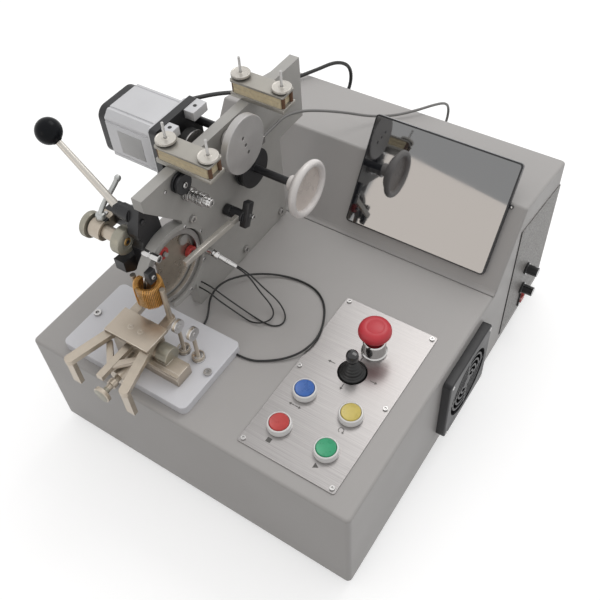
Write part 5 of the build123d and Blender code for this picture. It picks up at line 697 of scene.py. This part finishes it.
def thread(piece, at, radius, low, high, pitch, skin):
    """An upright threaded rod."""
    profile, height = [(0, low), (radius, low)], low
    while height < high - pitch:
        profile += [(radius, height + pitch * 0.45), (radius * 0.84, height + pitch * 0.75),
                    (radius, height + pitch)]
        height += pitch
    piece.lathe([*profile, (radius, high - 0.3), (radius * 0.8, high), (0, high)], at, "Z", 18,
                skin)


TENSION_YS = {"front": RING_Y + 45.0, "rear": RING_Y + 183.0}
STUD_XS = {"left": -101.1, "right": -43.1}
for label, y in TENSION_YS.items():
    unit = Piece(f"tensioner_{label}", "machine", "felt", "clamp_plate", "felt_end", "steel")
    unit.box((-110.1, y - 12.5, PLATE_TOP), (-34.1, y + 12.5, PLATE_TOP + 5.8), 0.7, 1)
    unit.box((-106.0, y - 11.6, PLATE_TOP + 5.6), (-38.2, y + 11.6, PLATE_TOP + 12.9), 1.3, 0, 3)
    unit.box((-106.0, y - 11.6, PLATE_TOP + 12.7), (-38.2, y + 11.6, PLATE_TOP + 20.2), 1.3, 0, 3)
    for end_x in (-107.4, -36.8):
        for end_y in (y - 8.0, y + 8.0):
            unit.rod((end_x, end_y, PLATE_TOP + 4), (end_x, end_y, PLATE_TOP + 21), 2.3, 2, 16)
    unit.prism([(-110.1, y - 10.5), (-108.1, y - 12.5), (-36.1, y - 12.5), (-34.1, y - 10.5),
                (-34.1, y + 10.5), (-36.1, y + 12.5), (-108.1, y + 12.5), (-110.1, y + 10.5)],
               PLATE_TOP + 20.0, 3.0, "Z", 0.6, 1)
    for x in STUD_XS.values():
        thread(unit, (x, y, PLATE_TOP), 1.6, 22.5, 49.0, 1.0, 3)
    unit.done("wire_tensioners")
    for side, x in STUD_XS.items():
        nut = Piece(f"knurled_{label}_{side}", f"thumb_nut_{label}_{side}", "pale_metal",
                    "black_metal")
        nut.lathe([(2.0, 23.4), (9.4, 23.4), (9.8, 23.8), (9.8, 24.7), (9.2, 25.1), (2.0, 25.1),
                   (2.0, 23.4)], (x, y, PLATE_TOP), "Z", 48, 1)
        nut.lathe([(1.9, 25.0), (11.0, 25.0), (12.0, 25.6), (12.0, 28.1), (11.4, 28.8),
                   (10.6, 28.9), (10.0, 28.5), (4.2, 28.5), (3.7, 29.3), (1.9, 29.3), (1.9, 25.0)],
                  (x, y, PLATE_TOP), "Z", 96, 0, teeth=0.35, bands=(2, 3))
        nut.done(f"thumb_nut_{label}_{side}", slot="steel")

wheel = Piece("wheel_turned", "hand_wheel", "wheel_white", "wheel_dish")
rim = arc(4.7, range(-115, 176, 15), (32.3, 9.7))
wheel.lathe([(5.0, -14.6), (8.9, -14.6), (9.5, -14.0), (9.5, -6.5), (10.6, -3.6), (13.0, -2.4),
             (25.5, -0.8), (29.6, 2.6), *rim, (27.4, 8.2)], (0, *WHEEL), "X", 96)
wheel.lathe([(27.6, 8.4), (24.6, 5.6), (13.0, 3.0), (10.0, 2.6), (9.2, 2.9), (8.6, 3.6), (4.4, 3.8),
             (3.8, 3.2), (0, 3.1)], (0, *WHEEL), "X", 96, 1)
wheel.done("handwheel")

motor = Piece("motor_profile", "machine", "motor_silver", "black_metal", "label_grey")
quarter = [(35.0, -21.5), (35.0, 21.5), (33.4, 22.2), (33.4, 23.4), (34.5, 24.2), (34.5, 26.9),
           (26.9, 34.5), (24.2, 34.5), (23.4, 33.4), (22.2, 33.4)]
section = []
for turn in range(4):
    for y, z in quarter:
        for _ in range(turn):
            y, z = -z, y
        section.append((MOTOR[0] + y, MOTOR[1] + z))
motor.prism(section, -202.8, 66.4, "X", 0.5)
motor.prism([(MOTOR[0] + y, MOTOR[1] + z) for y, z in rounded(70, 70, 5, 4)], -136.6, 5.6, "X", 0.6)
for y, z in ((-29, -29), (29, -29), (29, 29), (-29, 29)):
    motor.screw((-136.4, MOTOR[0] + y, MOTOR[1] + z), (-1, 0, 0), 2.6, 2.6, 1, 1)
motor.box((-186, MOTOR[0] - 35.25, MOTOR[1] - 17), (-150, MOTOR[0] - 34.9, MOTOR[1] + 15), 0.1, 2)
motor.done("motor_body", slot="anodised")
guards = Piece("guard_blocks", "machine", "motor_silver", "black_metal")
for low, high in ((-28.0, -14.0), (12.0, 36.0)):
    guards.box((-120.9, MOTOR[0] + low - 0.4, MOTOR[1] + 25.6), (
                   -106.6, MOTOR[0] + high + 0.4, MOTOR[1] + 37.4), 0.9)
    guards.screw((-113.8, MOTOR[0] + (low + high) / 2, MOTOR[1] + 37.2), "Z", 2.4, 0.8, 1, 1)
guards.done(slot="anodised")

boot = Piece("motor_exit", "machine", "rubber_boot")
boot.lathe([(2.9, 34.0), (3.3, 33.4), (3.9, 29.0), (4.1, 28.2), (4.6, 24.5), (4.8, 23.7),
            (5.4, 20.0), (5.6, 19.2), (6.2, 15.5), (6.8, 14.6), (6.8, 9.0), (2.9, 9.0),
            (2.9, 34.0)], (-189.0, -38.5, PLATE_TOP - 30.0), "Y", 32)
boot.done(slot="black_plastic")

roll = Piece("spindle_rings", "chrome_spindle", "chrome", "black_metal")
roll.lathe([(0, -96.6), (4.0, -96.6), (4.0, -81.6), (8.6, -81.6), (9.0, -81.2), (9.0, -78.6),
            (7.4, -78.0), (7.4, -77.0), (9.0, -76.4), (9.0, -73.4), (6.0, -72.6), (6.0, -70.6),
            (7.2, -70.0), (7.2, -67.6), (6.0, -67.0), (6.0, -63.8), (7.6, -63.6), (8.0, -63.2),
            (8.0, -60.8), (6.6, -60.2), (6.6, -58.8), (8.0, -58.2), (8.0, -55.0), (5.0, -54.4),
            (5.0, -51.6), (5.9, -51.0), (5.9, -49.2), (5.0, -48.6), (5.0, -46.2), (4.4, -45.6),
            (2.4, -45.6), (2.2, -47.4), (0, -47.4)], (0, RING_Y + 40.0, PLATE_TOP - 38.0), "X", 64)
roll.done("chrome_spindle")

hubs = Piece("pulley_hub", "wire_pulley", "chrome", "black_metal")
hubs.screw((-72.7, RING_Y + 31.0, PLATE_TOP - 15.0), "X", 3.6, 2.4, 0, 1)
hubs.done(slot="steel")

arm = Piece("arm_bar", "swing_arm", "pale_metal", "black_metal", "chrome")
arm.rod((-96.6, *ARM), (-81.0, *ARM), 4.0)
arm.lathe([(0, -81.6), (7.0, -81.6), (7.5, -81.0), (7.5, -73.0), (6.2, -72.4), (6.2, -71.0),
           (7.5, -70.4), (7.5, -64.0), (7.5, -54.6), (7.0, -54.0), (0, -54.0)], (0, *ARM), "X", 40,
          1)
arm.box((-63.0, ARM[0] - 51 - 55.3, ARM[1] + 5.5 - 4),
        (-57.0, ARM[0] - 51 + 55.3, ARM[1] + 5.5 + 4), 0.8, 0, 2, spin_x(-6.155))
arm.box((-57.2, ARM[0] + 4 - 5.5, ARM[1] + 2 - 17), (-48.0, ARM[0] + 4 + 5.5, ARM[1] + 2 + 17), 1.2,
        1, 2, spin_x(-25))
arm.screw((-48.2, ARM[0] + 7, ARM[1] - 2), "X", 3.5, 4.2, 2, 1)
arm.done("swing_arm", slot="nickel")

spindle = Piece("front_spindle_turned", "front_spindle", "disc_nickel", "nickel", "brass",
                "black_metal")
spindle.lathe([(0, -172.0), (11.5, -172.0), (12.0, -171.6), (13.6, -171.6), (15.4, -171.9),
               (16.0, -171.2), (16.0, -165.0), (15.4, -164.2), (12.0, -164.0), (0, -164.0)],
              (0, *FRONT_SPINDLE), "X", 96, 0, teeth=0.45, bands=(5, 6))
spindle.rod((-164.6, *FRONT_SPINDLE), (-123.0, *FRONT_SPINDLE), 8.0, 1, 48)
spindle.lathe([(0, -124.0), (16.0, -124.0), (17.0, -123.2), (17.0, -114.2), (16.4, -112.8),
               (15.0, -112.0), (9.0, -112.0), (8.6, -112.5), (5.8, -112.5), (5.4, -112.9),
               (0, -113.4)], (0, *FRONT_SPINDLE), "X", 80)
spindle.screw((-113.6, *FRONT_SPINDLE), "X", 5.0, 1.5, 2, 3)
spindle.done("front_spindle", slot="nickel")

ROOT = Vector((-129.1, *LEVER))
BALL = Vector((PLATE_LEFT - 110.3, LEVER[0], LEVER[1] + 77.4))
stem = Piece("lever_stem", "lever", "pale_metal", "black_metal", "chrome")
stem.lathe([(0, -133.1), (7.7, -133.1), (8.5, -132.4), (8.5, -125.8), (7.9, -125.1), (0, -125.1)],
           (0, *LEVER), "X", 48, 1)
stem.rod((-125.3, *LEVER), (-108.8, *LEVER), 4.0, 2)
stem.lathe([(2.5, 2.0), (4.9, 4.0), (4.9, 12.0), (4.5, 14.0), (3.7, (BALL - ROOT).length - 12.0),
            (3.0, (BALL - ROOT).length - 9.0)], ROOT, BALL - ROOT, 40)
stem.screw((-132.9, *LEVER), (-1, 0, 0), 3.0, 1.5, 2, 1)
stem.done("lever", slot="steel")
knob = Piece("ball_knob", "lever", "ball_black")
ball = [(15.0 * math.sin(math.radians(a)), -15.0 * math.cos(math.radians(a)))
        for a in range(18, 181, 6)]
knob.lathe([(3.9, -14.6), (4.6, -14.9), (5.4, -14.5), *ball[1:]], BALL, BALL - ROOT, 64)
knob.done("lever_ball", slot="black_gloss")

# screws and caps on the plate, the block and the ring's housing
fix = Piece("head_fixings", "machine", "steel", "black_metal", "chrome", "pale_metal", "nickel")
for y, z, r in ((28.0, TOP + 168.0, 2.6), (-142.0, TOP + 206.0, 2.2)):
    fix.screw((PLATE_RIGHT - 0.2, y, z), "X", r, 1.6, 0, 1)
fix.screw((-112.4, LEVER[0] + 4, LEVER[1] - 22), (-1, 0, 0), 3.2, 2.0, 2, 1)
fix.screw((PLATE_LEFT - 0.2, LEVER[0], LEVER[1] - 4), "X", 3.4, 2.4, 1, 1)
fix.screw((PLATE_LEFT - 0.2, LEVER[0] + 12, LEVER[1] - 40), "X", 3.4, 2.4, 1, 1)
fix.screw((PLATE_LEFT - 0.2, LEVER[0] - 6, LEVER[1] - 52), "X", 3.0, 2.2, 2, 1)
for y, z in arc(33.7, (108.0, -10.0), (RING_Y, RING_Z)):
    fix.lathe([(0, -86.8), (3.4, -86.8), (3.4, -85.9), (2.9, -85.4), (1.5, -85.4), (1.4, -86.2),
               (0, -86.2)], (0, y, z), "X", 32, 1)
fix.done(slot="steel")

# ------------------------------------------------------------------ chuck details
chuck = Piece("chuck_trim", "machine", "lip_nickel", "bronze", "chrome", "disc_nickel", "steel")
chuck.box((-121.2, -251.2, 236.0), (-54.8, -212.8, 240.1), 0.8)
for x in (-95.5, -80.5):
    chuck.lathe([(0, 240.0), (3.6, 240.0), (3.6, 240.22), (3.3, 240.3), (1.6, 240.3), (1.5, 240.12),
                 (0, 240.12)], (x, -232, 0), "Z", 36, 0)
for side in (-1, 1):
    start, end = Vector((-88.0, -281.0)), Vector((-88.0 + side * 25.0, -255.0))
    run = (end - start).normalized()
    off = Vector((-run.y, run.x))
    chuck.prism([tuple(start + off * 4.2), tuple(start - off * 4.2), tuple(end - off * 3.6),
                 tuple(end + off * 3.6)], 222.0, 5.8, "Z", 0.8)
for x in (-48.0, -26.0):
    chuck.lathe([(8.4, 191.9), (8.4, 193.2), (7.6, 194.2), (5.6, 194.6), (5.6, 196.6), (6.4, 197.0),
                 (6.4, 198.3), (2.4, 198.8), (0, 198.8)], (x, -203, 0), "Z", 48, 2)
    chuck.lathe([(0, -2.8), (8.7, -2.8), (8.8, -1.5), (6.8, -0.6), (6.8, 0.6), (8.8, 1.5),
                 (8.7, 2.8), (3.2, 2.8), (3.0, 3.4), (0, 3.4)], (x, -203, 240), "X", 48, 4)
chuck.lathe([(9.0, -58.0), (12.2, -58.0), (12.2, -42.6), (11.6, -41.8), (0, -41.8)], (0, -228, 213),
            "X", 64, 3)
chuck.prism([(-248.4, 192.0), (-223.8, 192.0), (-223.8, 203.0), (-228.6, 209.3), (-243.4, 209.3),
             (-248.4, 204.0)], -61.8, 42.2, "X", 0.8, 0)
chuck.screw((-53.0, -235.0, 209.1), "Z", 2.6, 1.6, 4, 1)
chuck.done(slot="nickel")
turnknob = Piece("knob_turned", "chuck_knob", "disc_nickel")
turnknob.lathe([(0, -311.0), (9.8, -311.0), (10.8, -310.5), (11.0, -309.6), (11.0, -306.6),
                (10.4, -306.0), (6.0, -305.6), (4.4, -303.4), (4.3, -300.0)],
               (-82.0, 0, TOP + 26.0), "Y", 72, 0, teeth=0.25, bands=(3, 4))
turnknob.done(slot="nickel")

# ------------------------------------------------------------------ the core's winding
CORE = Vector((-89.6, -195.0, TOP + 91.0))
path = []
TURNS, STEPS = 46, 28
FIRST, SWEEP = -70.0, 320.0  # where the winding starts on the core, and how far it goes, in degrees
MEAN, HALF_WALL, HALF_HEIGHT = 13.75, 3.55, 15.7  # the wire's path round the core's wall
for k in range(TURNS * STEPS + 1):
    a = math.radians(FIRST + SWEEP * k / (TURNS * STEPS))
    b = 2 * math.pi * k / STEPS
    c, s = math.cos(b), math.sin(b)
    r = MEAN + HALF_WALL * math.copysign(abs(c) ** 0.55, c)
    z = HALF_HEIGHT * math.copysign(abs(s) ** 0.35, s)
    path.append(CORE + Vector((r * math.cos(a), r * math.sin(a), z)))
coil = Piece("core_wire", "machine", "copper")
coil.tube(path, 0.46, 6)
coil.done("core_winding", slot="copper", sharp=80)

# ------------------------------------------------------------------ sensor and fan screws
sensor = Piece("sensor_ferrule", "machine", "chrome", "black_plastic")
sensor.lathe([(4.6, 3.0), (4.9, 3.6), (4.9, 9.0), (4.6, 9.6), (3.3, 10.0), (3.3, 20.0), (3.6, 20.4),
              (3.6, 22.4), (3.3, 22.8), (3.3, 31.0), (2.8, 33.0), (2.4, 35.2), (0, 35.2)],
             SENSOR_ROOT, SENSOR_WAY, 40)
sensor.done(slot="chrome")
fan = Piece("fan_screws", "machine", "chrome", "black_metal")
for y, z in ((-52.25, -52.25), (52.25, -52.25), (52.25, 52.25), (-52.25, 52.25)):
    fan.screw((244.8, -7 + y, 100 + z), "X", 2.8, 1.0, 0, 1)
fan.done(slot="steel")

# ------------------------------------------------------------------ lug, handle and ring trim
lug = Piece("lug_shell", "machine", "nickel", "steel")
lug.lathe([(8.5, -162.3), (11.7, -162.3), (12.4, -161.6), (12.4, -146.4), (11.7, -145.7),
           (8.5, -145.7), (8.5, -162.3)], (0, *FRONT_SPINDLE), "X", 56)
lug.box((-162.2, -177.4, FRONT_SPINDLE[1] - 3.3), (-145.6, -167.6, FRONT_SPINDLE[1] + 12.3), 0.9)
lug.screw((-154, -172.6, FRONT_SPINDLE[1] + 12.2), "Z", 2.6, 1.8, 1, 1)
lug.done(slot="nickel")
HANDLE = Vector((-154.0, -181.0, FRONT_SPINDLE[1] + 12.3))
grip = Piece("handle_curve", "clamp_handle", "satin_steel")
grip.lathe([(0, 0), (5.6, 0), (6.0, 0.5), (6.0, 4.6), (5.2, 6.2), (3.4, 7.2), (0, 7.4)], HANDLE,
           "Z", 40)
bend = [Vector((0, 0, 3)), Vector((0, 2.5, 11)), Vector((0, 12, 17)), Vector((0, 24, 20)),
        Vector((0, 38, 30))]
track = []  # the handle's middle line, a Bezier curve through the points of bend
for k in range(41):
    u = k / 40
    level = list(bend)
    while len(level) > 1:
        level = [a.lerp(b, u) for a, b in zip(level, level[1:])]
    track.append(HANDLE + level[0])
grip.tube(track, 3.1, 16)
grip.lathe([(2.6, -3.6), (3.6, -2.4), (4.0, 0), (3.6, 2.0), (2.2, 3.6), (0, 4.0)], track[-1],
           track[-1] - track[-2], 32)
grip.done("clamp_handle", slot="steel")

trim = Piece("ring_trim", "machine", "web_plate", "chrome", "black_metal", "steel")
web = arc(39, range(-120, 130, 5), (RING_Y, RING_Z))
trim.prism([*web, (RING_Y - 19.6, RING_Z + 30.5)], PLATE_LEFT + 2.9, 0.45, "X", 0)
trim.lathe([(0, -97.0), (5.0, -97.0), (5.0, -88.0), (4.2, -87.4), (4.2, -85.6), (5.0, -85.0),
            (5.0, -74.6), (4.6, -74.0), (3.0, -74.0), (2.8, -77.0), (0, -77.0)],
           (0, RING_Y - 29.0, RING_Z + 46.6), "X", 40, 1)
trim.box((-82.8, RING_Y - 50, RING_Z + 22), (-75.0, RING_Y - 38, RING_Z + 40), 1.4, 2)
trim.screw((-75.2, RING_Y - 44, RING_Z + 31), "X", 2.8, 1.6, 3, 2)
for y, z in arc(53.2, (60.0, 20.0, -30.0, -75.0), (RING_Y, RING_Z)):
    trim.screw((PLATE_RIGHT - 0.3, y, z), "X", 2.5, 1.3, 3, 2)
trim.done(slot="nickel")

# ------------------------------------------------------------------ console details
seam = Piece("cover_seam", "machine", "seam_dark", "steel")
edge_low, edge_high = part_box("side_cover")
y0, y1, z0, z1 = edge_low.y * 1000, edge_high.y * 1000, edge_low.z * 1000, edge_high.z * 1000
rise = [(y0 - 1.1, z0), (y0, z0), (y0, z1), (y0 - 1.1, z1 + 1.0)]
seam.prism(rise, RIGHT - 0.2, 0.9, "X", 0)
seam.done(slot="cover_coat")
small = Piece("screen_screw", "machine", "black_metal", "steel")
small.screw(on_face(213.6, 112, 0), slope_out, 2.6, 2.2, 0, 1)
small.done(slot="steel")


# ------------------------------------------------------------------ stage and light
def blend(tree, factor, first, second):
    """The first shader where the factor is 0, and the second where it is 1."""
    made = node(tree, "ShaderNodeMixShader")
    for socket, source in zip(made.inputs, (factor, first, second)):
        tree.links.new(source, socket)
    return made.outputs[0]


def floor_material():
    """Near white where it is seen, and darker where it only throws light back at the object."""
    made = bpy.data.materials.new("floor")
    made.use_nodes = True
    tree = made.node_tree
    tree.nodes.clear()
    glow = node(tree, "ShaderNodeEmission", Strength=0.54)
    pale = node(tree, "ShaderNodeBsdfDiffuse", Color=(0.62, 0.62, 0.62, 1))
    shown = node(tree, "ShaderNodeAddShader")
    tree.links.new(glow.outputs[0], shown.inputs[0])
    tree.links.new(pale.outputs[0], shown.inputs[1])
    dim = node(tree, "ShaderNodeBsdfDiffuse", Color=(0.30, 0.295, 0.29, 1))
    out = node(tree, "ShaderNodeOutputMaterial")
    tree.links.new(blend(tree, background_ray(tree), dim.outputs[0], shown.outputs[0]),
                   out.inputs["Surface"])
    return made


mesh = bpy.data.meshes.new("floor")
FLOOR, BELOW = 6, -0.0005  # half its width, and how far it lies under the feet, in metres
mesh.from_pydata([(x * FLOOR, y * FLOOR, BELOW) for x, y in ((-1, -1), (1, -1), (1, 1), (-1, 1))],
                 [], [(0, 1, 2, 3)])
mesh.materials.append(floor_material())
floor = bpy.data.objects.new("floor", mesh)
scene.collection.objects.link(floor)

world = bpy.data.worlds.new("world")
scene.world = world
world.use_nodes = True
tree = world.node_tree
background = tree.nodes["Background"]
background.inputs["Color"].default_value = WHITE
way = node(tree, "ShaderNodeSeparateXYZ")
tree.links.new(node(tree, "ShaderNodeTexCoord").outputs["Generated"], way.inputs[0])
from_above = span(tree, way.outputs["Z"], -0.1, 1.0, 0.32, 0.82)
from_behind = span(tree, way.outputs["Y"], 0.0, 1.0, 0.0, 0.40)
tree.links.new(math_node(tree, "ADD", from_above, from_behind), background.inputs["Strength"])
white = node(tree, "ShaderNodeBackground", Strength=1.0, Color=WHITE)
tree.links.new(blend(tree, background_ray(tree), background.outputs[0], white.outputs[0]),
               tree.nodes["World Output"].inputs["Surface"])


def lamp(name, place, aim, size, power, colour):
    light = bpy.data.lights.new(name, "AREA")
    light.shape = "RECTANGLE"
    light.size, light.size_y = size
    light.energy = power
    light.color = colour
    thing = bpy.data.objects.new(name, light)
    scene.collection.objects.link(thing)
    thing.location = place
    thing.rotation_euler = (Vector(aim) - Vector(place)).to_track_quat("-Z", "Y").to_euler()


lamp("key", (0.1, 1.2, 2.1), (0, 0, 0.2), (1.3, 0.9), 10.0, (1.0, 0.985, 0.97))
lamp("window", (-0.42, -1.70, 0.82), (0.13, 0.12, 0.25), (0.56, 0.50), 1.1, (1.0, 0.86, 0.74))

scene.view_settings.view_transform = "Standard"
